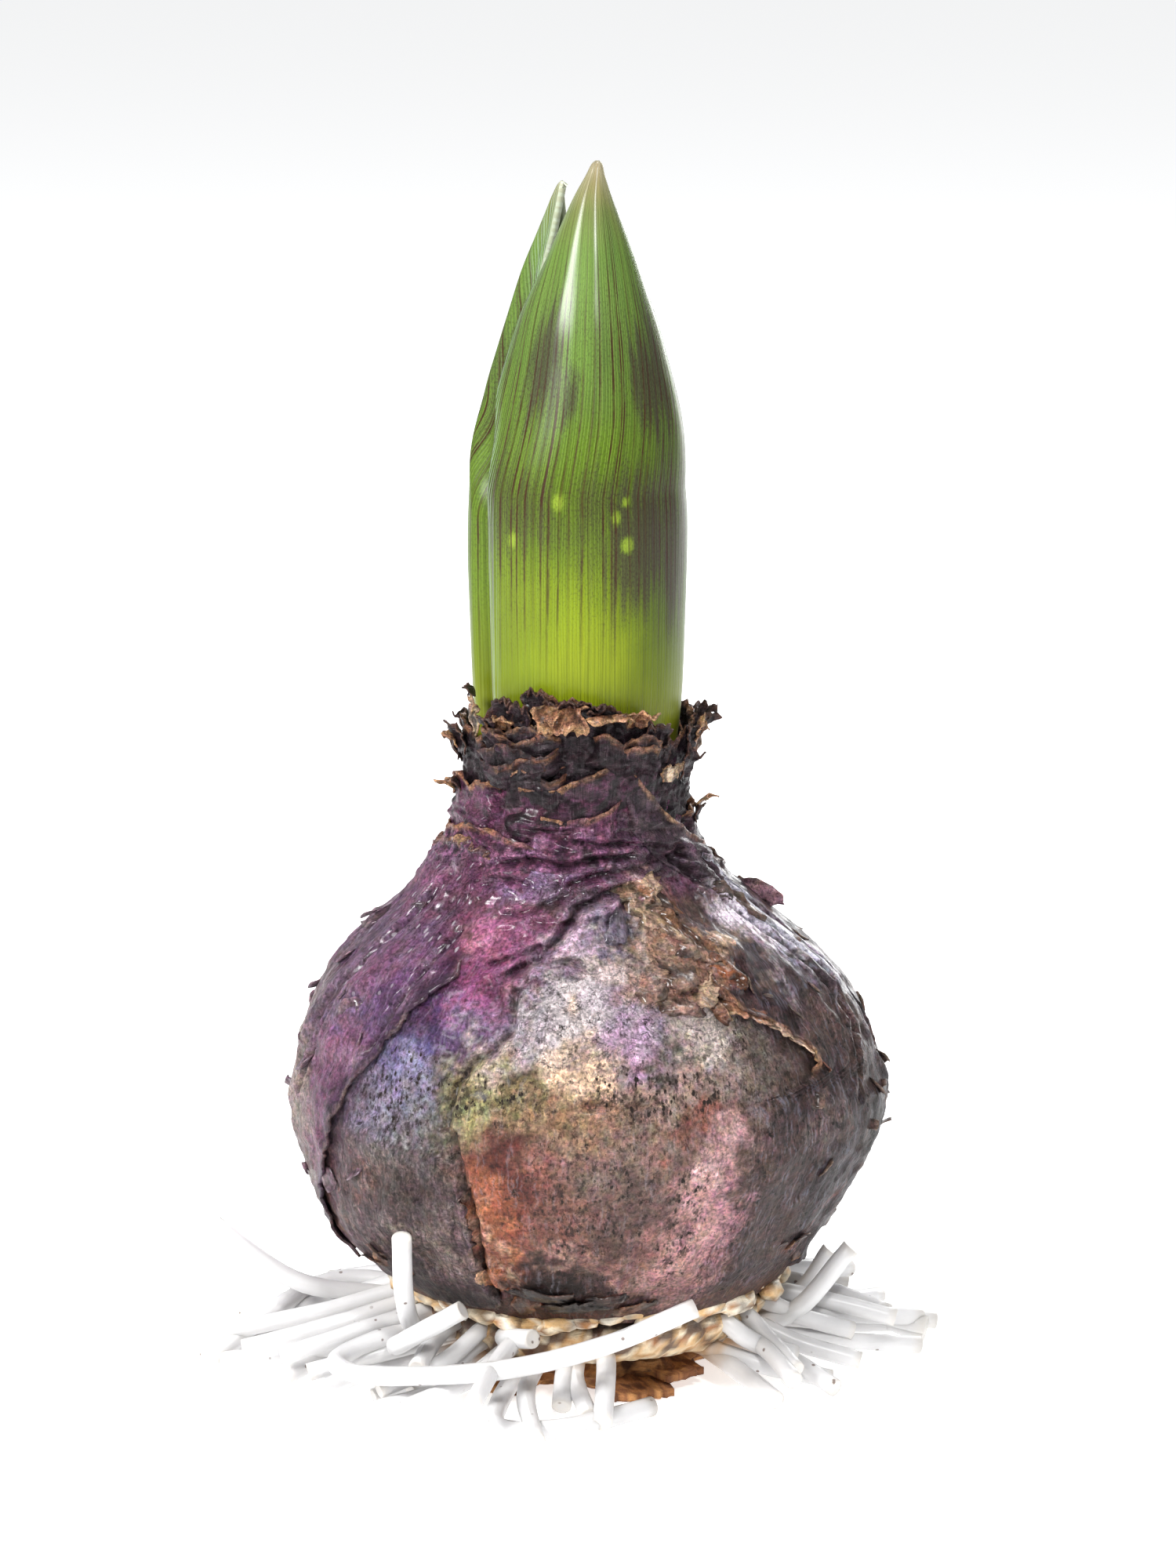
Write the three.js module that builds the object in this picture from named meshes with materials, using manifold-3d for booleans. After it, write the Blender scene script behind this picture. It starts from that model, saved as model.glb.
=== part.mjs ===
// A hyacinth bulb just coming into growth: a squat bulb in torn papery tunics, a torn collar of dry scale tops, a
// tight shoot of three cupped leaves round the closed flower spike, and a skirt of cut white roots that it stands on.
// Millimetres, +Z up. The origin is the middle of the flat underside, and azimuth 0 is the front (-Y), +90 is +X.
import * as THREE from "three";
import { mergeVertices } from "three/addons/utils/BufferGeometryUtils.js";
import Module from "manifold-3d";

const wasm = await Module();
wasm.setup();

// ---- driving dimensions ----
const BULB_RADIUS = 30; // over the outer tunics, at the widest
const PLATE_TOP = 8.6; // the living basal plate ends here
const OLD_BASE_TOP = 2.7; // the corky remains of last year's plate lie under it
const NECK_TOP = 60; // top of the bulb's own neck
const SOCKET_FLOOR = 50; // the leaves come out of a socket this deep in the neck
const FRONT_LEAF_TIP = 120.8;
const LEFT_LEAF_TIP = 118.7;
const REAR_LEAF_TIP = 110;
const SHOOT_X = -1.05; // the shoot stands a little left of the bulb's middle
const ROOT_RADIUS = 1;
const ROOT_COUNT = 80;
const SEAT = 0.3; // gap between pieces that touch
const TUNIC = 0.65; // thickness of a papery tunic
const TUNIC_SEAT = 0.45; // its facets need a little more room than SEAT
const LEAF_MIDDLE = 1.5; // thickness along a leaf's middle
const LEAF_MARGIN = 0.7;

const DEGREE = Math.PI / 180;
const mix = (a, b, t) => a + (b - a) * t;
const clamp01 = (t) => Math.min(1, Math.max(0, t));
const ease = (a, b, x) => {
  const t = clamp01((x - a) / (b - a));
  return t * t * (3 - 2 * t);
};

// A smooth function through [x, y] points.
function through(points) {
  const slope = points.map((p, i) => {
    const a = points[Math.max(0, i - 1)];
    const b = points[Math.min(points.length - 1, i + 1)];
    return (b[1] - a[1]) / (b[0] - a[0]);
  });
  return (x) => {
    if (x <= points[0][0]) return points[0][1];
    let i = 0;
    while (i < points.length - 2 && x > points[i + 1][0]) i += 1;
    const [x0, y0] = points[i];
    const [x1, y1] = points[i + 1];
    const h = x1 - x0;
    const t = Math.min(1, (x - x0) / h);
    const rest = 1 - t;
    return (
      y0 * (1 + 2 * t) * rest * rest +
      slope[i] * h * t * rest * rest +
      y1 * t * t * (3 - 2 * t) -
      slope[i + 1] * h * t * t * rest
    );
  };
}

// A seeded draw from 0 to 1.
function draws(seed) {
  let state = seed;
  return () => {
    state = (state * 16807) % 2147483647;
    return state / 2147483647;
  };
}

// ---- geometry helpers ----
const at = (x, azimuth, radius, z, y = 0) => [
  x + radius * Math.sin(azimuth * DEGREE),
  y - radius * Math.cos(azimuth * DEGREE),
  z,
];

function moveVertices(geometry, place) {
  const position = geometry.getAttribute("position");
  for (let i = 0; i < position.count; i += 1)
    position.setXYZ(i, ...place(i, position.getX(i), position.getY(i), position.getZ(i)));
  return geometry;
}

// A turned solid: profile is [radius, z] points, and place(j, azimuth, radius, z) puts each vertex of point j.
function turned(profile, segments, place) {
  const points = profile.map(([r, z]) => new THREE.Vector2(r, z));
  const lathe = new THREE.LatheGeometry(points, segments);
  return moveVertices(lathe, (i) => {
    const j = i % profile.length;
    const azimuth = (360 * Math.floor(i / profile.length)) / segments;
    return place(j, azimuth === 360 ? 0 : azimuth, ...profile[j]);
  });
}

// A sheet: a box of across x along cells, whose (u, v, w), each 0 to 1, go where place says.
const sheet = (across, along, place) =>
  moveVertices(new THREE.BoxGeometry(1, 1, 1, across, along, 1), (i, x, y, z) => place(x + 0.5, y + 0.5, z + 0.5));

// A round rod along a smooth curve through the given points.
function rod(points, radius, sides, steps) {
  const section = new THREE.Shape();
  for (let k = 0; k < sides; k += 1) {
    const a = (2 * Math.PI * k) / sides;
    if (k) section.lineTo(radius * Math.cos(a), radius * Math.sin(a));
    else section.moveTo(radius, 0);
  }
  const path = new THREE.CatmullRomCurve3(points.map((p) => new THREE.Vector3(...p)));
  return new THREE.ExtrudeGeometry(section, { steps, extrudePath: path, bevelEnabled: false });
}

function solid(geometry) {
  const bare = geometry.index ? geometry.toNonIndexed() : geometry.clone();
  for (const name of Object.keys(bare.attributes)) if (name !== "position") bare.deleteAttribute(name);
  const merged = mergeVertices(bare, 1e-4);
  const vertProperties = merged.getAttribute("position").array;
  return new wasm.Manifold(new wasm.Mesh({ numProp: 3, vertProperties, triVerts: new Uint32Array(merged.index.array) }));
}

const union = (solids) => solids.reduce((all, one) => all.add(one));
// The largest body alone, without scraps or sealed pockets.
const largest = (shape) => shape.decompose().reduce((a, b) => (b.volume() > a.volume() ? b : a));

function geometryOf(shape) {
  const mesh = shape.getMesh();
  const geometry = new THREE.BufferGeometry();
  geometry.setAttribute("position", new THREE.BufferAttribute(new Float32Array(mesh.vertProperties), 3));
  geometry.setIndex(new THREE.BufferAttribute(new Uint32Array(mesh.triVerts), 1));
  geometry.computeVertexNormals();
  return geometry;
}

// ---- the bulb ----
// Radius of the body under its loose tunics, against height.
const UNDER_TUNIC = BULB_RADIUS - 0.8;
const bodyRadius = through(
  [
    [9, 0.661],
    [12.5, 0.767],
    [16.7, 0.866],
    [21, 0.938],
    [27.5, 1],
    [33, 0.969],
    [38, 0.894],
    [42, 0.801],
    [45.5, 0.675],
    [48, 0.575],
    [51, 0.486],
    [54, 0.425],
    [57, 0.388],
    [NECK_TOP, 0.375],
  ].map(([z, share]) => [z, share * UNDER_TUNIC]),
);
// The body leans a little to the left above and below its widest part.
const bodyX = through([
  [9, 0],
  [15, -1.1],
  [28, -0.1],
  [40, -0.8],
  [52, -1.6],
  [NECK_TOP, -1.2],
]);
const bodyLobes = (azimuth, z) =>
  0.3 * Math.cos((3 * azimuth + 40) * DEGREE) * ease(10, 26, z) * (1 - ease(44, 56, z)) +
  0.2 * Math.cos((5 * azimuth - 70 + 2 * z) * DEGREE) * (1 - ease(50, 58, z)) +
  0.25 * Math.cos((6 * azimuth + 150) * DEGREE) * (1 - ease(8, 20, z));
const onBody = (azimuth, z, out = 0) =>
  at(bodyX(z), azimuth, bodyRadius(z) + bodyLobes(azimuth, z) + out, z);

const shootRadius = through([
  [SOCKET_FLOOR, 8.5],
  [56, 8.9],
  [60, 9.4],
  [64, 9.95],
  [67, 10.35],
  [75, 10.65],
  [84, 10.9],
  [89, 10.8],
  [94, 10.45],
]);

function bulbBody() {
  const bottom = PLATE_TOP + SEAT + 0.1;
  const heights = [bottom, 12, 15.5, 19.5, 24, 28.5, 33, 37, 40, 42.5, 45, 47.5, 50, 53, 56.5, NECK_TOP];
  const profile = [[0, bottom], ...heights.map((z) => [bodyRadius(z), z])];
  const rim = profile.length;
  for (const z of [NECK_TOP, 57, 53.5, SOCKET_FLOOR]) profile.push([shootRadius(z) + SEAT, z]);
  profile.push([0, SOCKET_FLOOR]);
  return solid(
    turned(profile, 44, (j, azimuth, radius, z) => {
      if (j > 0 && j < rim) return onBody(azimuth, z);
      return radius ? at(SHOOT_X, azimuth, radius, z) : [j ? SHOOT_X : 0, 0, z];
    }),
  );
}

// ---- loose papery tunics, lying on the body ----
// from and to are the mean azimuths of a sheet's two sides, and torn[0] and torn[1] give how far the border strays
// from them at each height. low and high are its lower and upper edges, across the sheet.
const tunic = (across, along, { from, to, torn, low, high }) =>
  solid(
    sheet(across, along, (u, v, w) => {
      const z = mix(low(u), high(u), v);
      const stray = torn[0](z) * (1 - u) ** 3 + torn[1](z) * u ** 3;
      return onBody(mix(from, to, u) + stray, z, TUNIC_SEAT + w * TUNIC);
    }),
  );

const leftTunic = () =>
  tunic(14, 13, {
    from: -205,
    to: -48,
    torn: [
      through([
        [11, 1],
        [22, 5],
        [38, -3],
        [54, 4],
      ]),
      through([
        [11, -24],
        [19, -20],
        [24, -13],
        [31, -7],
        [38, 4.5],
        [43, 13],
        [45, 16.5],
        [50, 13],
        [54, 15],
      ]),
    ],
    low: (u) => 11.5 + 1.2 * Math.sin(8 * u),
    high: (u) => 54 + 0.9 * Math.sin(9 * u) - 2.5 * ease(0.3, 0, u),
  });
const rightTunic = () =>
  tunic(13, 14, {
    from: 42,
    to: 146,
    torn: [
      through([
        [11, -13.5],
        [20, -11],
        [26, -9],
        [32, -6],
        [33.6, 11],
        [38, 8],
        [40.8, -4],
        [44, -6.5],
        [47.5, 3],
        [52.5, 18],
      ]),
      through([
        [11, 0],
        [24, -5],
        [36, 3],
        [52, -4],
      ]),
    ],
    low: (u) => 11.3 + 0.7 * Math.sin(7 * u),
    high: (u) => 52.5 + 0.8 * Math.sin(7 * u + 1),
  });
const lowerTunic = () =>
  tunic(5, 7, {
    from: -61,
    to: -23,
    torn: [
      through([
        [10, -5],
        [20, -1],
        [30, 9],
      ]),
      through([
        [10, 1],
        [16, 1],
        [26, -0.5],
        [30, -3.5],
      ]),
    ],
    low: () => 10.4,
    high: (u) => 30 + 0.6 * Math.sin(6 * u),
  });

// ---- the collar of torn, dried scale tops round the foot of the shoot ----
const tornTop = (azimuth) =>
  66.4 +
  1.5 * Math.cos((azimuth + 12) * DEGREE) +
  0.7 * Math.sin((7 * azimuth + 30) * DEGREE) +
  0.6 * Math.sin((17 * azimuth + 80) * DEGREE) -
  2.2 * Math.exp(-(((azimuth - 52) / 12) ** 2));

function neckCollar() {
  const foot = NECK_TOP + SEAT;
  const levels = [0, 0.35, 0.7, 1];
  const outside = levels.map((s) => ({ share: s, out: 1.6 - 0.8 * s }));
  const inside = [1, 0].map((s) => ({ share: s, out: 0 }));
  const rows = [...outside, ...inside, outside[0]];
  const ring = turned(
    rows.map((row) => [10 + row.out, foot + row.share]),
    54,
    (j, azimuth) => {
      const { share, out } = rows[j];
      const z = mix(foot, tornTop(azimuth), share);
      const crumple = out && 0.3 * Math.sin((9 * azimuth + 25 * share * 10) * DEGREE) * Math.sin((5 * azimuth) * DEGREE);
      return at(SHOOT_X, azimuth, shootRadius(z) + SEAT + out + crumple, z);
    },
  );
  // Torn flaps that curl out of the ring: azimuth, foot height, width, length, how far they lean out.
  const flaps = [
    [-90, 62, 3, 4.4, 1.5],
    [-80, 64, 2.4, 4.8, 0.4],
    [-62, 65.4, 3, 3.4, 0.4],
    [-38, 66, 3.4, 3, 0.6],
    [-19, 66.4, 3.6, 3.8, 0.4],
    [2, 65.8, 5.4, 3, 1.2],
    [22, 65.8, 3.8, 3, 0.8],
    [40, 64.6, 2.4, 2.6, 0.5],
    [78, 62.2, 2.8, 3.4, 0.8],
    [92, 63.6, 2.2, 4.2, 2.1],
    [118, 63.6, 3.2, 3.4, 0.8],
    [150, 64, 3.6, 3.4, 0.6],
    [186, 63.8, 4, 3.4, 0.9],
    [222, 63.6, 3.2, 3.6, 0.8],
    [247, 63.8, 2.6, 3.2, 0.6],
  ];
  const flapSolids = flaps.map(([azimuth, foot, width, length, lean], k) =>
    solid(
      sheet(2, 3, (u, v, w) => {
        const z = foot + length * v * (1 - 0.18 * v * (lean / 4));
        const narrow = 1 - 0.35 * v * v;
        const tilt = ((u - 0.5) * width * narrow) / 11 / DEGREE;
        const ragged = v === 1 ? 0.5 * Math.sin(7 * u + 2 * k) : 0;
        const radius = shootRadius(foot) + SEAT + 0.5 + lean * v * v + w * 0.7;
        return at(SHOOT_X, azimuth + tilt, radius, z + ragged);
      }),
    ),
  );
  return largest(union([solid(ring), ...flapSolids]));
}

// ---- leaves ----
// Each leaf is a channel round its own centre line: centre (x, y), radius and the azimuths of its two margins all
// change with height. tuck(azimuth, z) draws a margin in under the next leaf. grow swells it for clearance cuts.
function leaf({ heights, x, y, radius, from, to, tuck }, grow = 0) {
  const last = heights.length - 1;
  return solid(
    sheet(12, last, (u, v, w) => {
      const row = Math.round(v * last);
      const z = heights[row] + (row === 0 ? -grow : 0) + (row === last ? grow : 0);
      const r = radius(z);
      const widen = grow / Math.max(r, 1) / DEGREE;
      const azimuth = mix(from(z) - widen, to(z) + widen, u);
      const thick = mix(LEAF_MARGIN, LEAF_MIDDLE, Math.sin(Math.PI * clamp01(u)) ** 0.7);
      const outer = r - tuck(azimuth, z) * Math.min(1, r / 6);
      const inner = Math.max(0.06, outer - thick - grow);
      return at(x(z), azimuth, w > 0.5 ? outer + grow : inner, z, y(z));
    }),
  );
}

const FRONT_LEAF = {
  heights: [50.3, 57, 64, 72, 80, 87, 91, 94, 97, 101, 105, 109, 113, 116.5, 119, 120.3, FRONT_LEAF_TIP],
  x: through([
    [89, SHOOT_X],
    [97, 0.1],
    [109, 0.34],
    [117, 0.45],
    [FRONT_LEAF_TIP, 0.92],
  ]),
  y: () => 0,
  radius: (z) =>
    z < 89
      ? shootRadius(z)
      : through([
          [89, 10.8],
          [93, 10.05],
          [97, 8.95],
          [101, 7.75],
          [105, 6.6],
          [109, 5.2],
          [113, 3.75],
          [117.3, 2],
          [119.6, 1],
          [120.5, 0.6],
          [FRONT_LEAF_TIP, 0.22],
        ])(z),
  from: through([
    [86, -56],
    [97, -90],
    [FRONT_LEAF_TIP, -92],
  ]),
  to: through([
    [86, 118],
    [100, 97],
    [FRONT_LEAF_TIP, 92],
  ]),
  tuck: () => 0,
};

const LEFT_LEAF = {
  heights: [50.3, 57, 64, 72, 80, 86, 90, 94, 98, 102, 106, 110, 113.5, 116, 117.6, 118.4, LEFT_LEAF_TIP],
  x: through([
    [89, SHOOT_X],
    [98, -1.4],
    [110, -2],
    [LEFT_LEAF_TIP, -2.45],
  ]),
  y: through([
    [90, 0],
    [110, 1.4],
    [LEFT_LEAF_TIP, 1.6],
  ]),
  radius: (z) =>
    z < 84
      ? shootRadius(z)
      : through([
          [84, 10.9],
          [90, 10.6],
          [94.5, 10.3],
          [98, 9.35],
          [102, 7.85],
          [106, 6.3],
          [110, 4.7],
          [113.5, 3],
          [116, 1.8],
          [117.6, 1.05],
          [118.4, 0.6],
          [LEFT_LEAF_TIP, 0.22],
        ])(z),
  from: through([
    [86, -198],
    [100, -192],
    [LEFT_LEAF_TIP, -185],
  ]),
  to: through([
    [86, -34],
    [97, -66],
    [108, -78],
    [LEFT_LEAF_TIP, -75],
  ]),
  tuck: (azimuth, z) => {
    const margin = mix(-56, -90, ease(86, 98, z));
    return 2.1 * ease(margin - 20, margin - 2, azimuth);
  },
};

const REAR_LEAF = {
  heights: [50.3, 57, 64, 72, 80, 86, 90, 94, 98, 101, 104, 106.5, 108.5, 109.6, REAR_LEAF_TIP],
  x: through([
    [89, SHOOT_X],
    [REAR_LEAF_TIP, 0.1],
  ]),
  y: through([
    [90, 0],
    [REAR_LEAF_TIP, 1.5],
  ]),
  radius: (z) =>
    z < 84
      ? shootRadius(z) - 0.1
      : through([
          [84, 10.75],
          [89, 10.2],
          [94, 8.6],
          [98, 6.8],
          [102, 4.9],
          [106.5, 2.6],
          [108.5, 1.5],
          [109.6, 0.75],
          [REAR_LEAF_TIP, 0.22],
        ])(z),
  from: () => 84,
  to: () => 198,
  tuck: (azimuth, z) =>
    (2.1 * ease(140, 118, azimuth) + 2.1 * ease(142, 160, azimuth)) * (1 - ease(86, 96, z)),
};

// ---- the flower spike, still closed inside the leaves ----
function flowerSpike() {
  const foot = SOCKET_FLOOR + SEAT;
  const lowest = 60;
  const top = 97;
  const rows = 8; // rings of florets
  const core = through([
    [foot, 2.8],
    [lowest, 3.1],
    [68, 5],
    [78, 5.3],
    [88, 4.2],
    [94, 2.4],
    [top, 1],
  ]);
  const levels = 21;
  const profile = [[0, foot]];
  for (let k = 0; k <= levels; k += 1) profile.push([1, mix(foot, top, (k / levels) ** 0.85)]);
  profile.push([0, top + 0.6]);
  const geometry = turned(profile, 18, (j, azimuth, radius, z) => {
    if (!radius) return [SHOOT_X, 0, z];
    const row = (z - lowest) / ((top - lowest) / rows);
    const stagger = 30 * Math.floor(row);
    const floret =
      z > lowest ? Math.abs(Math.sin(Math.PI * row)) ** 0.7 * (0.35 + 0.65 * Math.cos((3 * azimuth + stagger * 3) * DEGREE) ** 2) : 0;
    return at(SHOOT_X, azimuth, core(z) + 1.5 * floret * (1 - ease(90, top, z) * 0.6), z);
  });
  return solid(geometry);
}

// ---- the base and the roots ----
function oldBase() {
  const profile = [
    [0, 0],
    [10.6, 0],
    [12.4, 0.9],
    [12.7, 1.9],
    [11.6, OLD_BASE_TOP],
    [0, OLD_BASE_TOP],
  ];
  const ragged = (azimuth, z) =>
    0.7 * Math.sin((9 * azimuth + 60 * z) * DEGREE) + 0.5 * Math.sin((14 * azimuth + 20) * DEGREE);
  const disc = turned(profile, 40, (j, azimuth, radius, z) =>
    radius ? at(0, azimuth, radius + (z > 0 ? ragged(azimuth, z) : 0), z) : [0, 0, z],
  );
  // A scrap of old tunic lies at its front left, and layered cork stands out at its front right.
  const scraps = [
    { azimuth: -34, width: 6, reach: 16.5, inner: 1, outer: 0.05, rise: 0.2 },
    { azimuth: 20, width: 7, reach: 16.6, inner: 0.6, outer: 0.1, rise: 0 },
    { azimuth: 39, width: 5.6, reach: 15.4, inner: 1.6, outer: 1.1, rise: 0.1 },
  ].map(({ azimuth, width, reach, inner, outer, rise }) =>
    solid(
      sheet(3, 3, (u, v, w) => {
        const side = ((u - 0.5) * width * (1 - 0.3 * v * v)) / 13 / DEGREE;
        const z = mix(inner, outer, v) + rise * (2 * u - 1) ** 2 * v;
        return at(0, azimuth + side, mix(9, reach, v), z + 0.8 * w);
      }),
    ),
  );
  return largest(union([solid(disc), ...scraps]));
}

// How far the skirt of roots reaches: long at the sides, short at the front right, where they have broken away.
const rootReach = through([
  [-180, 33],
  [-120, 35],
  [-88, 39],
  [-55, 36],
  [-41, 30],
  [-27, 37],
  [-18, 34],
  [-8, 24],
  [8, 25],
  [20, 20],
  [36, 22],
  [48, 27],
  [66, 30],
  [84, 36],
  [110, 36],
  [180, 33],
]);

// Most roots follow one rule: out of the plate's side in three tiers, over a low hump and down on the tier below,
// with a seeded sideways bend and length.
function ruledRoots() {
  const draw = draws(20417);
  const routes = [];
  for (let i = 0; i < ROOT_COUNT; i += 1) {
    const azimuth = (360 / ROOT_COUNT) * (i + 0.7 * draw()) - 180;
    const tier = i % 3;
    const bend = 30 * (draw() - 0.5);
    const reach = rootReach(azimuth) * (0.88 + 0.14 * draw()) - 1.2 * tier;
    const lift = draw();
    const start = 4 + 1.6 * tier;
    const end = 1.05 + tier * (0.8 + 1.2 * lift);
    if (reach < 23) continue;
    routes.push([
      at(0, azimuth, 11.5, start),
      at(0, azimuth, 17.5, start + 0.25 * tier - 0.4),
      at(0, azimuth + 0.35 * bend, mix(17.5, reach, 0.45), mix(start, end, 0.55) + 0.6 * lift),
      at(0, azimuth + bend, reach, end),
    ]);
  }
  return routes;
}

// Roots that stray from the rule, placed one by one.
const SINGLE_ROOTS = [
  // doubles back on the left, crosses the front and leans its cut end up at the right
  [
    [-10, -7, 4.6],
    [-19, -13, 6],
    [-24.6, -18.2, 5],
    [-21, -22, 4.6],
    [-9, -25, 6],
    [1.4, -24.8, 8.4],
    [10.4, -22.6, 11.6],
  ],
  // stands up against the bulb's left flank
  [
    [-11, -9, 5.4],
    [-16.6, -14.6, 7],
    [-17.9, -19, 11.4],
    [-18, -23.6, 18.9],
  ],
  // turns back under it, cut square
  [
    [-12, -6.4, 5.2],
    [-18, -13.4, 5.4],
    [-18.2, -19.6, 7.2],
    [-12.2, -21.6, 11.1],
  ],
  // rises to a free end at the far left
  [
    [-11, 0, 5.4],
    [-21, 0.5, 6.2],
    [-29.6, -1.2, 8.2],
    [-37.6, -2, 14.2],
  ],
  // droops at the far left
  [
    [-11, 3, 4.4],
    [-26, 6.4, 6],
    [-38.5, -6, 1.1],
  ],
  // curl up on the right
  [
    [11, -3, 4.4],
    [20, -4.8, 5.6],
    [26.4, -4, 12.4],
  ],
  [
    [11, 2, 4.6],
    [20.6, 1, 5.8],
    [24.6, 1.4, 10.6],
  ],
  // run out low on the right
  [
    [11, 5, 4],
    [25, 7.2, 3],
    [34.4, 4, 1.1],
  ],
  [
    [11, -8, 3.8],
    [16, -15, 2],
    [18.4, -19, 1.1],
  ],
  // lies across the front on the ground
  [
    [-5, -10, 4.4],
    [-8.6, -20, 1.4],
    [-8.4, -27.6, 1.05],
    [-2, -27.4, 1.05],
    [6.2, -20.6, 1.05],
  ],
  // short ones towards the front
  [
    [-6.4, -9.8, 5.2],
    [-8.2, -17.2, 7],
    [-5.4, -20.4, 7.8],
  ],
  [
    [-1.6, -10.5, 4.4],
    [-2.2, -17.5, 4],
    [-2.6, -21.6, 1.3],
  ],
  [
    [1.4, -11, 5],
    [1.8, -19, 4.6],
    [1.4, -26.6, 1.2],
  ],
];

function rootCrown() {
  const foot = OLD_BASE_TOP + SEAT;
  const profile = [
    [0, foot],
    [12.4, foot],
    [15.6, 4],
    [17.6, 5.6],
    [18.2, 7.4],
    [17.6, PLATE_TOP],
    [0, PLATE_TOP],
  ];
  const bumps = (azimuth) => 0.35 * Math.abs(Math.sin(10 * azimuth * DEGREE));
  const plate = turned(profile, 40, (j, azimuth, radius, z) =>
    radius ? at(0, azimuth, radius + (j > 1 ? bumps(azimuth) : 0), z) : [0, 0, z],
  );
  const ruled = ruledRoots().map((route) => solid(rod(route, ROOT_RADIUS, 5, 3)));
  const single = SINGLE_ROOTS.map((route) => solid(rod(route, ROOT_RADIUS, 5, 2 * (route.length - 1))));
  return largest(union([solid(plate), ...ruled, ...single]));
}

// ---- the whole plant ----
const frontLeaf = leaf(FRONT_LEAF);
const leftLeaf = largest(leaf(LEFT_LEAF).subtract(leaf(FRONT_LEAF, SEAT)));
const rearLeaf = largest(leaf(REAR_LEAF).subtract(leaf(FRONT_LEAF, SEAT)).subtract(leaf(LEFT_LEAF, SEAT)));

const finish = (color, roughness) => new THREE.MeshStandardMaterial({ color, roughness, metalness: 0 });
const pieces = {
  bulb: [bulbBody(), finish(0x8d7a76, 0.6)],
  tunic_left: [leftTunic(), finish(0x5a3550, 0.45)],
  tunic_right: [rightTunic(), finish(0x3a2d2e, 0.5)],
  tunic_lower: [lowerTunic(), finish(0x5c5254, 0.65)],
  neck_collar: [neckCollar(), finish(0x2b1d20, 0.6)],
  leaf_front: [frontLeaf, finish(0x5f8a1e, 0.3)],
  leaf_left: [leftLeaf, finish(0x5f8a2a, 0.3)],
  leaf_rear: [rearLeaf, finish(0x5f8a2a, 0.3)],
  flower_spike: [flowerSpike(), finish(0x9bb25a, 0.5)],
  root_crown: [rootCrown(), finish(0xf1ebe4, 0.4)],
  old_base: [oldBase(), finish(0x6b4630, 0.85)],
};

const hyacinth = new THREE.Group();
for (const [name, [shape, material]] of Object.entries(pieces)) {
  const mesh = new THREE.Mesh(geometryOf(shape), material);
  mesh.name = name;
  hyacinth.add(mesh);
}

export default hyacinth;
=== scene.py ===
# %% [markdown]
# # A hyacinth bulb coming into growth
# The object is a fat spring bulb: papery skins round it, a torn collar at its neck, three cupped leaves that still
# hold the flower spike shut, and a skirt of cut white roots. The measured model gives every size and place. This
# lesson dresses it: it makes finer pieces of the same form, and finishes for skin, leaf, root and cork.

# %% Load the measured model
import math

import bmesh
import bpy
from mathutils import Matrix, Vector, noise


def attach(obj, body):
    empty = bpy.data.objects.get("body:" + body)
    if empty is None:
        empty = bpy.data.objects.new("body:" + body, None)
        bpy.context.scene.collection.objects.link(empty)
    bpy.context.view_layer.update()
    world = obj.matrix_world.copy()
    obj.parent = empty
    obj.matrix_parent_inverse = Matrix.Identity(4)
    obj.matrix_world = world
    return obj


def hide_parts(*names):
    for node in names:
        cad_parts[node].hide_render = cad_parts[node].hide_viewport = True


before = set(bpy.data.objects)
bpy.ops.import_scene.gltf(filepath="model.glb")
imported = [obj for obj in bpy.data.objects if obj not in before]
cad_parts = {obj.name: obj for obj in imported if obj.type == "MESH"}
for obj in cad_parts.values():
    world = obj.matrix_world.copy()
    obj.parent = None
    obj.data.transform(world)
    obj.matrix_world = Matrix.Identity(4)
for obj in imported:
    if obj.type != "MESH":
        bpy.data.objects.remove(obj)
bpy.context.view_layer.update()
MM = 0.001  # the measured sizes below are in millimetres, and Blender's are in metres
print("Measured pieces:", ", ".join(sorted(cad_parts)))

# %% [markdown]
# ## Shaping helpers
# Natural forms are easiest to steer by a few values and a smooth curve between them. `through` makes such a curve,
# `ease` blends from 0 to 1, and `draws` gives chance numbers that come out the same on every run, so that the roots
# here take the same routes as the measured ones. `at` turns an azimuth and a radius into a place, because everything
# here stands round an upright axis, and `noise_at` gives the same soft unevenness at a place each time.

# %% Curves, blends and seeded chance


def mix(a, b, t):
    return a + (b - a) * t


def unit(x):
    return min(1.0, max(0.0, x))


def ease(a, b, x):
    """0 up to a, 1 from b, and a soft rise between; a may be the higher of the two."""
    t = min(1.0, max(0.0, (x - a) / (b - a)))
    return t * t * (3 - 2 * t)


def bell(x):
    return math.exp(-(x**2))


def through(points):
    """A smooth curve y(x) through [x, y] points, level beyond its ends."""
    slopes = []
    for i in range(len(points)):
        a, b = points[max(0, i - 1)], points[min(len(points) - 1, i + 1)]
        slopes.append((b[1] - a[1]) / (b[0] - a[0]))

    def curve(x):
        if x <= points[0][0]:
            return points[0][1]
        i = 0
        while i < len(points) - 2 and x > points[i + 1][0]:
            i += 1
        (x0, y0), (x1, y1) = points[i], points[i + 1]
        h = x1 - x0
        t = min(1.0, (x - x0) / h)
        s = 1 - t
        rise = y0 * (1 + 2 * t) * s * s + y1 * t * t * (3 - 2 * t)
        return rise + slopes[i] * h * t * s * s - slopes[i + 1] * h * t * t * s

    return curve


def draws(seed):
    """Chance numbers between 0 and 1, always the same ones for a seed."""
    state = seed
    while True:
        state = state * 16807 % 2147483647
        yield state / 2147483647


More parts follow.
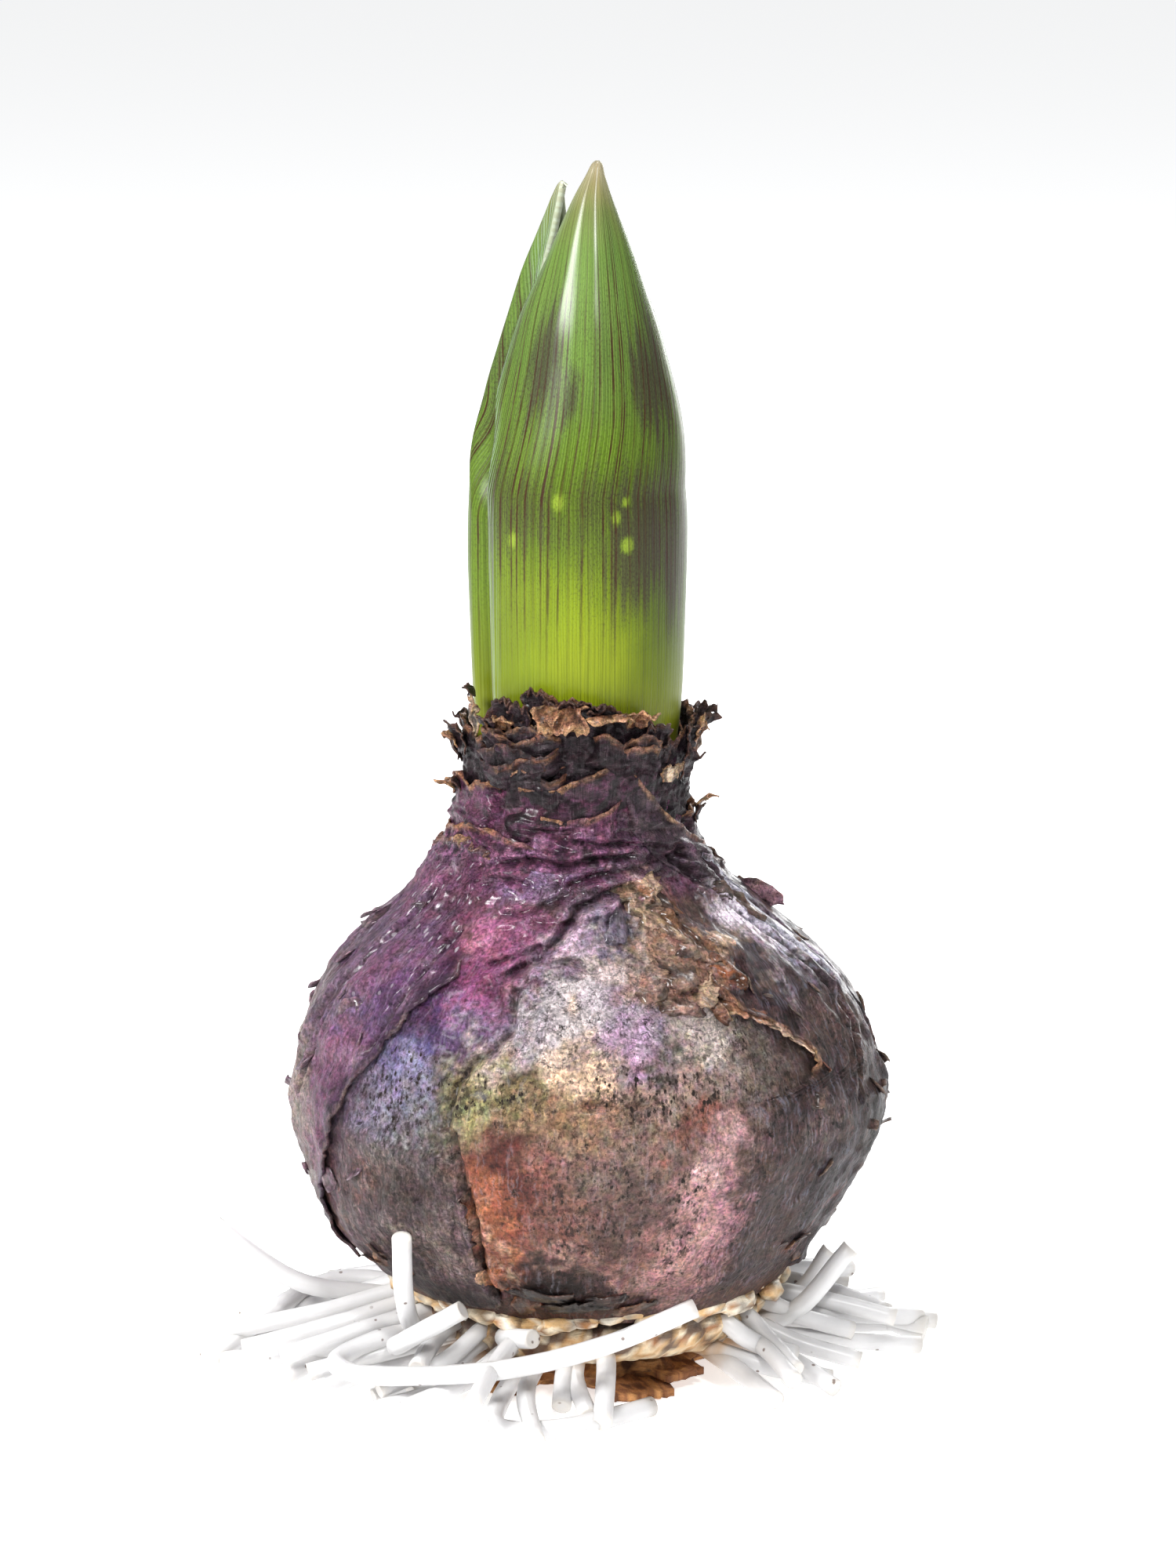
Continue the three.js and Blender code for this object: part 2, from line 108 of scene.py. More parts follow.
def at(x, azimuth, radius, z, y=0.0):
    """The point at this azimuth and radius round an upright axis. Azimuth 0 is the front and 90 the right."""
    a = math.radians(azimuth)
    return Vector((x + radius * math.sin(a), y - radius * math.cos(a), z))


def wrapped(azimuth):
    return (azimuth + 180) % 360 - 180


def noise_at(x, y, z):
    return noise.noise(Vector((x, y, z)))


print("One root's chance numbers start with", round(next(draws(20417)), 4))

# %% [markdown]
# ## The measured body
# The bulb's outline is a radius for each height, with a centre that leans a little to the left and a few very soft
# lobes. The same numbers shape the measured model, so what is built on them stays where the measured piece is.

# %% The bulb's outline, the shoot's outline and a point on either
BULB_RADIUS = 30.0
NECK_TOP = 60.0
SOCKET_FLOOR = 50.0
SHOOT_X = -1.05
SEAT = 0.3
UNDER_TUNIC = BULB_RADIUS - 0.8  # the bare skin lies this deep, below the loose ones

OUTLINE = [
    [9, 0.661], [12.5, 0.767], [16.7, 0.866], [21, 0.938], [27.5, 1], [33, 0.969], [38, 0.894], [42, 0.801],
    [45.5, 0.675], [48, 0.575], [51, 0.486], [54, 0.425], [57, 0.388], [NECK_TOP, 0.375],
]
body_radius = through([[z, share * UNDER_TUNIC] for z, share in OUTLINE])
body_x = through([[9, 0], [15, -1.1], [28, -0.1], [40, -0.8], [52, -1.6], [NECK_TOP, -1.2]])
shoot_radius = through([
    [SOCKET_FLOOR, 8.5], [56, 8.9], [60, 9.4], [64, 9.95], [67, 10.35], [75, 10.65], [84, 10.9], [89, 10.8],
    [94, 10.45],
])


def lobes(azimuth, z):
    """How far the bulb swells beyond a round one, in mm."""
    a = math.radians(azimuth)
    return (
        0.3 * math.cos(3 * a + 0.698) * ease(10, 26, z) * (1 - ease(44, 56, z))
        + 0.2 * math.cos(5 * a - 1.222 + math.radians(2 * z)) * (1 - ease(50, 58, z))
        + 0.25 * math.cos(6 * a + 2.618) * (1 - ease(8, 20, z))
    )


def on_body(azimuth, z, out=0.0):
    return at(body_x(z), azimuth, body_radius(z) + lobes(azimuth, z) + out, z)


print(f"The bulb is {2 * BULB_RADIUS:.0f} mm across at the height of {OUTLINE[4][0]} mm.")

# %% [markdown]
# ## Mesh helpers
# Each skin, scale and leaf starts as a flat grid, which is then bent to its place, as paper would be. A `bent_grid`
# keeps its own flat position as a UV map, so that veins and fibres follow the piece. Its tint goes into a colour
# attribute, one colour at each vertex, which a finish can read and break up further.

# %% Swatches and bent grids


def srgb(code):
    """A linear colour from the usual six-digit code of a paint swatch."""
    parts = [int(code[i : i + 2], 16) / 255 for i in (0, 2, 4)]
    return Vector([p / 12.92 if p <= 0.04045 else ((p + 0.055) / 1.055) ** 2.4 for p in parts])


def bent_grid(bm, across, along, place, tint=None, run=None):
    """A grid of across by along cells whose point (u, v), each 0 to 1, goes to place(u, v) in millimetres."""
    uv = bm.loops.layers.uv.get("run") or bm.loops.layers.uv.new("run")
    colour = bm.verts.layers.float_color.get("tint") or bm.verts.layers.float_color.new("tint")
    made = bmesh.ops.create_grid(bm, x_segments=across, y_segments=along, size=0.5)["verts"]
    flat = {vert: (vert.co.x + 0.5, vert.co.y + 0.5) for vert in made}
    for vert in made:
        u, v = flat[vert]
        vert.co = place(u, v) * MM
        if tint:
            vert[colour] = (*tint(u, v), 1.0)
    for face in {face for vert in made for face in vert.link_faces}:
        for loop in face.loops:
            u, v = flat[loop.vert]
            loop[uv].uv = run(u, v) if run else (u, v)
    return made


print("A swatch as a linear colour:", [round(part, 3) for part in srgb("84842c")])

# %% [markdown]
# ### Turned pieces
# The bulb, its plate and the cork are round. Their outline is drawn once as a line of points and spun round the
# upright axis. Each vertex remembers its ring, so that it can be moved off the true circle afterwards.

# %% Turned profiles


def turned(bm, profile, steps, place, tint=None):
    """A profile of [radius, z] points spun once round. place(j, azimuth, radius, z) puts each point of ring j."""
    ring = bm.verts.layers.int.get("ring") or bm.verts.layers.int.new("ring")
    colour = bm.verts.layers.float_color.get("tint") or bm.verts.layers.float_color.new("tint")
    line = []
    for j, (radius, z) in enumerate(profile):
        line.append(bm.verts.new((0, -radius * MM, z * MM)))
        line[-1][ring] = j
    edges = [bm.edges.new(pair) for pair in zip(line, line[1:])]
    bmesh.ops.spin(
        bm, geom=line + edges, cent=(0, 0, 0), axis=(0, 0, 1), angle=2 * math.pi, steps=steps, use_merge=True
    )
    bmesh.ops.remove_doubles(bm, verts=bm.verts[:], dist=1e-7)
    for vert in bm.verts:
        j = vert[ring]
        radius, z = profile[j]
        azimuth = math.degrees(math.atan2(vert.co.x, -vert.co.y)) if radius else 0.0
        vert.co = place(j, azimuth, radius, z) * MM
        if tint:
            vert[colour] = (*tint(azimuth, z), 1.0)
    bmesh.ops.recalc_face_normals(bm, faces=bm.faces[:])


print("A profile can be spun round and roughened.")

# %% [markdown]
# ### A finished piece
# Every piece ends the same way: its mesh gets an object, a wall if it is thin, and its finish. Then it rides on the
# body, and the measured pieces that it stands for are hidden.

# %% Finishing a piece


def piece(name, bm, finish, replaces=(), thick=0.0):
    """Makes the object, thickens it inwards, gives it its finish and its body, and hides the measured pieces it
    replaces.
    """
    for face in bm.faces:
        face.smooth = True
    mesh = bpy.data.meshes.new(name)
    bm.to_mesh(mesh)
    bm.free()
    made = bpy.data.objects.new(name, mesh)
    bpy.context.scene.collection.objects.link(made)
    mesh.materials.append(finish)
    if thick:
        wall = made.modifiers.new("thickness", "SOLIDIFY")
        wall.thickness = thick * MM
        wall.offset = -1
    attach(made, "root")
    if replaces:
        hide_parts(*replaces)
    print(f"{name}: {len(mesh.polygons)} faces")


print("Each piece will ride on the body root.")

# %% [markdown]
# ## Shader sums
# A material is a graph of nodes, and long sums are hard to read as a graph. `Flow` wraps one output, so that
# `1 - mask * 0.5` adds the Math nodes by itself. Any other node comes from the recipe's `node` method.

# %% A wrapper for shader sums


class Flow:
    """A number on its way through a material."""

    def __init__(self, recipe, socket):
        self.recipe = recipe
        self.socket = socket

    def sum(self, operation, *others):
        return self.recipe.node("Math", dict(enumerate((self, *others))), operation=operation)

    def __add__(self, other):
        return self.sum("ADD", other)

    def __sub__(self, other):
        return self.sum("SUBTRACT", other)

    def __rsub__(self, other):
        return self.recipe.node("Math", {0: other, 1: self}, operation="SUBTRACT")

    def __mul__(self, other):
        return self.sum("MULTIPLY", other)

    __radd__ = __add__
    __rmul__ = __mul__

    def step(self, low, high):
        """0 below low, 1 above high and smooth between; low may be the higher of the two."""
        values = {"Value": self, "From Min": low, "From Max": high}
        return self.recipe.node("MapRange", values, interpolation_type="SMOOTHSTEP")


print("Sums of wrapped values add their own Math nodes.")

# %% [markdown]
# ### A material as a recipe
# `Recipe` starts a Principled material. Values that are the same all over go straight onto its sockets, by name.
# Its other methods give what these finishes need: a place in millimetres, a pattern drawn out one way, grain, the
# thin wandering lines where a noise crosses its middle, and blends of two colours.

# %% The recipe for a material


class Recipe:
    """One finish, as a Principled material that is filled in step by step."""

    def __init__(self, name, **uniform):
        self.material = bpy.data.materials.new(name)
        self.material.use_nodes = True
        self.tree = self.material.node_tree
        self.shader = self.tree.nodes["Principled BSDF"]
        for socket, value in uniform.items():
            self.feed(socket.replace("_", " "), value)

    def put(self, socket, value):
        if isinstance(value, Flow):
            self.tree.links.new(value.socket, socket)
        elif isinstance(value, str):
            socket.default_value = (*srgb(value), 1.0)
        elif isinstance(value, (tuple, list, Vector)):
            socket.default_value = (*value, 1.0)[: len(socket.default_value)]
        else:
            socket.default_value = value

    def feed(self, socket, value):
        """Gives the shader's own socket a value or a link."""
        self.put(self.shader.inputs[socket], value)

    def node(self, kind, sockets=None, out=0, **settings):
        made = self.tree.nodes.new("ShaderNode" + kind)
        for setting, value in settings.items():
            setattr(made, setting, value)
        for socket, value in (sockets or {}).items():
            self.put(made.inputs[socket], value)
        return Flow(self, made.outputs[out])

    def part(self, vector, i):
        """One of the three numbers of a vector or colour."""
        return self.node("SeparateXYZ", {"Vector": vector}, out=i)

    def attribute(self, name):
        return self.node("Attribute", attribute_name=name)

    def place_in_mm(self):
        return self.stretched(self.node("TexCoord", out=3), (1000, 1000, 1000))

    def flat(self, x, y):
        return self.node("CombineXYZ", {"X": x, "Y": y})

    def stretched(self, vector, scale):
        return self.node("VectorMath", {0: vector, 1: scale}, operation="MULTIPLY")

    def grain(self, vector, scale, detail=4.0, roughness=0.55, distortion=0.0):
        values = {"Vector": vector, "Scale": scale, "Detail": detail, "Roughness": roughness, "Distortion": distortion}
        return self.node("TexNoise", values)

    def drawn(self, vector, scale, *pattern):
        """Grain drawn out along the smaller scales."""
        return self.grain(self.stretched(vector, scale), *pattern)

    def lines(self, *pattern):
        """0 along thin wandering lines, where the noise crosses its middle, and more away from them."""
        return (self.grain(*pattern) - 0.5).sum("ABSOLUTE")

    def dots(self, vector, scale=1.0, randomness=1.0):
        """The distance to the nearest of many scattered dots."""
        return self.node("TexVoronoi", {"Vector": vector, "Scale": scale, "Randomness": randomness})

    def blend(self, factor, a, b, kind="MIX"):
        """Colour a, turning to colour b as the factor goes from 0 to 1."""
        return self.node("Mix", {0: factor, 6: a, 7: b}, out=2, data_type="RGBA", blend_type=kind)

    def times(self, colour, shade):
        return self.blend(1.0, colour, shade, "MULTIPLY")

    def finish(self, colour, roughness, height, depth, strength=1.0):
        """Links the colour, the roughness and a bump of this depth, in metres."""
        self.feed("Base Color", colour)
        self.feed("Roughness", roughness)
        self.feed("Normal", self.node("Bump", {"Height": height, "Distance": depth, "Strength": strength}))
        return self.material


print("Shader helpers are ready.")

# %% [markdown]
# ## Paint by soft blobs
# Old bulb skin is blotched in many colours that run into each other. Each blotch is one line here: where it is, how
# wide and tall, its colour and how strong. Their rims are made ragged by noise, and a later blotch lies over an
# earlier one. The result is only a soft underpaint: the finishes add fibres, specks and cracks to it.

# %% Blobs of colour on a round surface


def strayed(azimuth, z, radius, reach):
    """The same place pushed about by noise, which frays whatever is painted there."""
    spot = at(0, azimuth, radius, z)
    dx = dz = 0.0
    for size, share in ((4.5, 1.0), (1.9, 0.6), (0.8, 0.5), (0.4, 0.3)):
        dx += share * noise.noise(spot / size + Vector((9, 0, 0)))
        dz += share * noise.noise(spot / size + Vector((0, 9, 5)))
    return azimuth + math.degrees(reach * dx / radius), z + reach * dz


def off_blob(turn, rise, wide, tall, radius):
    """How far out this place is in a blob of half sizes wide and tall: 0 at its middle and 1 at its rim."""
    return math.hypot(math.radians(wrapped(turn)) * radius / wide, rise / tall)


def painted(base, blobs, azimuth, z, radius, reach=2.8):
    """The base colour under blobs of [azimuth, height, half width, half height, colour, strength]."""
    azimuth, z = strayed(azimuth, z, radius, reach)
    for a0, z0, wide, tall, colour, strength in blobs:
        if abs(z - z0) < 1.3 * tall:
            inside = 1 - ease(0.15, 1.25, off_blob(azimuth - a0, z - z0, wide, tall, radius))
            base = base.lerp(srgb(colour), strength * inside)
    return base


def blotches(azimuth, z, radius, colours, size, seed):
    """One of the colours at each place, in patches of about this size that run into each other."""
    spot = at(0, azimuth, radius, z) / size + Vector((seed, 0, 0))
    pick = 0.5 + 0.85 * noise.fractal(spot, 1.0, 2.0, 3)
    place = min(0.999, unit(pick)) * (len(colours) - 1)
    i = int(place)
    return srgb(colours[i]).lerp(srgb(colours[i + 1]), ease(0.25, 0.75, place - i))


print("Underpaint is ready.")

# %% [markdown]
# ## Leaves
# Each leaf is a channel round its own upright line. Its centre, its radius and its two margins change with height,
# exactly as in the measured model, and one margin is drawn in under the next leaf. The grid is bent along those curves
# and then thickened inwards. Its UV map holds millimetres across and up, because the veins must run along the leaf and
# draw together at the tip. The `marks` attribute says how purple a place is, how far it is from the margin or from the
# place where the leaf rolls back out of sight, whose pale edge is a painted reflection, and how strong its veins are.

# %% The three leaves' curves
FRONT_TAPER = through([
    [89, 10.8], [93, 10.05], [97, 8.95], [101, 7.75], [105, 6.6], [109, 5.2], [113, 3.75], [117.3, 2], [119.6, 1],
    [120.5, 0.6], [120.8, 0.22],
])
LEFT_TAPER = through([
    [84, 10.9], [90, 10.6], [94.5, 10.3], [98, 9.35], [102, 7.85], [106, 6.3], [110, 4.7], [113.5, 3], [116, 1.8],
    [117.6, 1.05], [118.4, 0.6], [118.7, 0.22],
])
REAR_TAPER = through([
    [84, 10.75], [89, 10.2], [94, 8.6], [98, 6.8], [102, 4.9], [106.5, 2.6], [108.5, 1.5], [109.6, 0.75],
    [110, 0.22],
])


def left_tuck(azimuth, z):
    margin = mix(-56, -90, ease(86, 98, z))
    return 2.1 * ease(margin - 20, margin - 2, azimuth)


def rear_tuck(azimuth, z):
    return 2.1 * (ease(140, 118, azimuth) + ease(142, 160, azimuth)) * (1 - ease(86, 96, z))


LEAVES = {
    "leaf_front": {
        "tip": 120.8, "swell": 0.11, "roll": 86,
        "x": through([[89, SHOOT_X], [97, 0.1], [109, 0.34], [117, 0.45], [120.8, 0.92]]),
        "y": through([[0, 0], [1, 0]]),
        "radius": lambda z: shoot_radius(z) if z < 89 else FRONT_TAPER(z),
        "first": through([[80, -56], [88, -58], [95, -72], [101, -90], [120.8, -92]]),
        "last": through([[86, 118], [100, 97], [120.8, 92]]),
        "tuck": lambda azimuth, z: 0.0,
    },
    "leaf_left": {
        "tip": 118.7, "swell": 0.0, "roll": 500,
        "x": through([[89, SHOOT_X], [98, -1.4], [110, -2], [118.7, -2.45]]),
        "y": through([[90, 0], [110, 1.4], [118.7, 1.6]]),
        "radius": lambda z: shoot_radius(z) if z < 84 else LEFT_TAPER(z),
        "first": through([[86, -198], [100, -192], [118.7, -185]]),
        "last": through([[86, -34], [97, -66], [108, -78], [118.7, -75]]),
        "tuck": left_tuck,
    },
    "leaf_rear": {
        "tip": 110.0, "swell": 0.0, "roll": 141,
        "x": through([[89, SHOOT_X], [110, 0.1]]),
        "y": through([[90, 0], [110, 1.5]]),
        "radius": lambda z: shoot_radius(z) - 0.1 if z < 84 else REAR_TAPER(z),
        "first": through([[0, 84], [1, 84]]),
        "last": through([[0, 198], [1, 198]]),
        "tuck": rear_tuck,
    },
}
print("Leaf tips at", [leaf["tip"] for leaf in LEAVES.values()], "mm")

# %% [markdown]
# ### Leaf colours
# The leaf is pale where it stood in the dark of the neck, fresh green above and tanned at its tip. It could be painted
# on an image. Short lists are easier to change: one gives the green at each height, one the glow and shade over it,
# and one the places where purple pigment has gathered.

# %% Greens, glows and purple places
SHOOT_RADIUS = 10.5
GREENS = [
    [52, "a9a864"], [60, "84842c"], [66, "6a7014"], [72, "5c6a08"], [80, "4f6308"], [90, "445710"], [102, "475f25"],
    [112, "546e2c"], [116, "626a38"], [119, "847850"], [121, "a48c6a"],
]
GLOWS = [
    [-3, 75, 8, 9, "73830a", 0.85], [4, 72, 6, 6, "7d8714", 0.6], [-38, 77, 5, 8, "616f12", 0.6],
    [2, 93.5, 5, 4, "4d6612", 0.7], [-12, 106, 3.4, 12, "5b7a30", 0.6], [62, 84, 6, 14, "2c3414", 0.8],
    [66, 103, 4, 12, "3a4a24", 0.6], [-70, 92, 6, 9, "4c6227", 0.4], [120, 84, 12, 14, "47601e", 0.6],
    [180, 84, 14, 14, "3f5a1e", 0.6], [-120, 84, 12, 14, "4b6622", 0.6], [30, 112, 3, 6, "44602c", 0.5],
]
PURPLE = [
    [-37, 101.6, 2.3, 6.8, 0.85], [-24, 99.5, 1.6, 5, 0.5], [-12, 98.5, 0.8, 4, 0.75], [44, 100, 2.9, 6.6, 0.95],
    [57, 101, 2.4, 8, 0.75], [10, 104, 4, 6, 0.3], [-30, 87.4, 6, 5, 0.6], [-52, 88, 3.4, 7, 0.55],
    [33, 85, 6, 8.5, 0.9], [60, 84, 5.4, 11, 0.75], [10, 88.5, 5, 6, 0.55], [-8, 86, 5, 5, 0.4],
    [100, 90, 6, 11, 0.7], [150, 86, 7, 8, 0.8], [170, 100, 4, 6, 0.7], [205, 88, 6, 9, 0.7], [240, 84, 6, 8, 0.5],
    [-135, 98, 5, 7, 0.8], [-95, 100, 4, 9, 0.5],
]
PALE_SPOTS = [
    [-10, 88.7, 0.65, 1.0], [20.5, 87.1, 0.5, 0.8], [26.6, 84.4, 0.75, 0.95], [-35, 84.8, 0.6, 0.9],
    [26, 88.6, 0.4, 0.6], [150, 90, 0.6, 1], [205, 82, 0.6, 0.9],
]


def green_at(z):
    for (z0, low), (z1, high) in zip(GREENS, GREENS[1:]):
        if z <= z1:
            return srgb(low).lerp(srgb(high), unit((z - z0) / (z1 - z0)))
    return srgb(GREENS[-1][1])


def leaf_tint(azimuth, z):
    colour = painted(green_at(z), GLOWS, azimuth, z, SHOOT_RADIUS, reach=0.8)
    for a0, z0, wide, tall in PALE_SPOTS:
        inside = 1 - ease(0.3, 1.2, off_blob(azimuth - a0, z - z0, wide, tall, SHOOT_RADIUS))
        colour = colour.lerp(srgb("879c30"), 0.65 * inside)
    return colour


def purple_at(azimuth, z, radius):
    """How purple the leaf is, from 0 to 1, in patches that end in streaks."""
    across = Vector((math.radians(azimuth) * SHOOT_RADIUS, 0, 0)).x
    streak = 0.6 * noise_at(across * 2.4, 1.7, z * 0.09) + 0.2 * noise_at(across * 5, 0, z * 0.2)
    share = 0.0
    for a0, z0, wide, tall, strength in PURPLE:
        far = off_blob(azimuth - a0, z - z0, wide, tall, max(radius, 6.0))
        share = max(share, strength * (1 - ease(0.25, 1.3, far + streak)))
    for a0, z0, wide, tall in PALE_SPOTS:
        share *= ease(0.4, 1.3, off_blob(azimuth - a0, z - z0, wide, tall, SHOOT_RADIUS))
    return share


print("Leaf green runs from", GREENS[0][1], "to", GREENS[-1][1])

# %% [markdown]
# ### The leaf finish
# The veins are lines of a one-dimensional Voronoi pattern, so their spacing is uneven as on a real leaf. Two sets are
# used: strong dark ones, broken into dashes where the leaf is green, and fine pale ones between. Purple places are
# green with a dense purple stipple, which is how the pigment really lies. The wax gives a coat with a soft gloss, which
# is strongest towards the tips. Pale lines run along the margins and a pale edge along the margin itself; where the
# leaf rolls back at its outline, the same pale lines and edge are a painted reflection of grazing light.

# %% Finish: waxy leaf


def leaf_finish():
    leaf = Recipe("waxy leaf", Coat_Roughness=0.22, Specular_IOR_Level=0.1)
    run = leaf.node("UVMap", uv_map="run")
    across = leaf.part(run, 0)
    marks = leaf.attribute("marks")
    purple = leaf.part(marks, 0)
    margin = leaf.part(marks, 1) * 10.0
    strength = leaf.part(marks, 2)
    tint = leaf.attribute("tint")

    sway = leaf.drawn(run, (0.5, 0.05, 0), 1.0, 1.0) - 0.5
    line = {"W": across * 1.04 + sway * 0.9, "Scale": 1.0, "Randomness": 0.8}
    strong = leaf.node("TexVoronoi", line, voronoi_dimensions="1D").step(0.17, 0.05)
    line = {"W": across * 3.1 + sway * 2.4, "Scale": 1.0, "Randomness": 0.6}
    fine = leaf.node("TexVoronoi", line, voronoi_dimensions="1D").step(0.32, 0.1)
    broken = leaf.drawn(run, (1.6, 0.22, 0), 1.3, 4.0, 0.65).step(0.34, 0.58)
    broken = broken * leaf.drawn(run, (0.9, 0.02, 0), 1.0, 1.0).step(0.3, 0.56)
    streaks = leaf.drawn(run, (2.4, 0.05, 0), 1.0, 4.0, 0.65)
    stipple = leaf.drawn(run, (1, 0.65, 0), 5.5, 2.0, 0.6)
    clouds = leaf.drawn(run, (0.45, 0.12, 0), 1.0, 3.0)

    colour = leaf.times(tint, 0.5 + streaks * 0.6 + clouds * 0.4)
    colour = leaf.blend(fine * (0.25 + strength * 0.75) * 0.2, colour, "7f9a3a")
    haze = (purple * 1.1 + (streaks - 0.5) * 1.5 * purple + (stipple - 0.5) * 0.9 * purple).step(0.15, 1.0)
    colour = leaf.blend(haze * 0.7, colour, "301e28")
    freckle = stipple.step(0.5, 0.62) * (strength * 0.5 + purple * 0.5)
    colour = leaf.blend(freckle * 0.6, colour, "2f2318")
    vein = strong * strength * (0.26 + broken * 0.74)
    colour = leaf.blend(vein * 0.9, colour, "34120f")
    stripes = margin.step(2.4, 0.3) * fine
    colour = leaf.blend(stripes * 0.48, colour, "a3b8a8")
    # a pale edge along the margin; where the margin is the rolled-back outline, this pale edge is a painted reflection
    colour = leaf.blend(margin.step(0.4, 0.1) * 0.6, colour, "b4b8a4")
    height = (1 - strong) * 0.5 + (1 - fine) * 0.4 + stipple * 0.35
    rough = 0.3 + stipple * 0.14 + streaks * 0.08
    high = leaf.part(run, 1)
    leaf.feed("Coat Weight", 0.13 + high.step(99.0, 109.0) * 0.36)
    return leaf.finish(colour, rough, height, 0.00009, 0.7)


WAXY_LEAF = leaf_finish()
print("Made the finish:", WAXY_LEAF.name)

# %% [markdown]
# ### Bending the leaves
# A real leaf is one sheet, thick at its middle and thin at its margins. One grid for each, bent along its measured
# curves, keeps the veins running from foot to tip. The wall is added inwards, so that the outside stays where it was
# measured. The radius is averaged a little along the leaf, which keeps the gloss on its shoulder smooth.

# %% The leaves themselves


def leaf_mesh(shape, across=96, along=190):
    bm = bmesh.new()
    marks = bm.verts.layers.float_color.new("marks")
    foot = SOCKET_FLOOR + SEAT

    def girth(z):
        """The leaf's radius, averaged a little along its length so that light runs smoothly over its shoulder."""
        near = sum(shape["radius"](z + step) for step in (-3, -1.5, 0, 1.5, 3)) / 5
        return mix(near, shape["radius"](z), ease(96, 102, z))

    def spread(u, v):
        z = mix(foot, shape["tip"], 1 - (1 - v) ** 1.25)
        return mix(shape["first"](z), shape["last"](z), u), z

    def flat_place(u, v):
        azimuth, z = spread(u, v)
        return math.radians(azimuth) * mix(10.9, shape["radius"](z), 0.55), z

    def margin(u, v):
        azimuth, z = spread(u, v)
        width = math.radians(shape["last"](z) - shape["first"](z)) * shape["radius"](z)
        return min(u, 1 - u) * width

    def place(u, v):
        azimuth, z = spread(u, v)
        radius = girth(z) * (1 + shape["swell"] * ease(-45, -90, azimuth) * ease(92, 98, z) * ease(114, 106, z))
        out = radius - shape["tuck"](azimuth, z) * min(1, radius / 6)
        out -= 0.45 * (1 - ease(0, 0.9, margin(u, v))) * min(1, radius / 3)
        sway = noise_at(azimuth * 0.06, z * 0.05, shape["tip"])
        out += 0.10 * sway * min(1, radius / 5)
        return at(shape["x"](z), azimuth, max(0.02, out), z, shape["y"](z))

    made = bent_grid(bm, across, along, place, tint=lambda u, v: leaf_tint(*spread(u, v)), run=flat_place)
    for i, vert in enumerate(made):
        u, v = (i % (across + 1)) / across, (i // (across + 1)) / along
        azimuth, z = spread(u, v)
        strength = ease(69, 83, z) * (1 - 0.7 * ease(107, 118, z))
        # where the leaf rolls back at its outline it counts as margin, so it gets the pale margin lines and edge: a
        # painted reflection of grazing light
        edge = min(margin(u, v), 0.3 + 0.19 * abs(azimuth - shape["roll"]))  # the rolled margin looks like an edge
        vert[marks] = (purple_at(azimuth, z, shape["radius"](z)), min(1, edge / 10), strength, 1.0)
    return bm


for name, shape in LEAVES.items():
    piece(name + "_blade", leaf_mesh(shape), WAXY_LEAF, replaces=(name,), thick=0.7)

# %% [markdown]
# ## The relief of old skin
# The bulb has dried and shrunk under its skins, so they lie in broad dents, fine upright ribs and crumples, with
# sharp creases where a skin folded over. All skins share one height map here. A crease is a route of
# (azimuth, height) places: near it the surface dips by a depth over a half width, and a lip rises beside the dip.
# A negative depth makes a ridge. Sharing the map keeps a loose skin from sinking into the one below it.

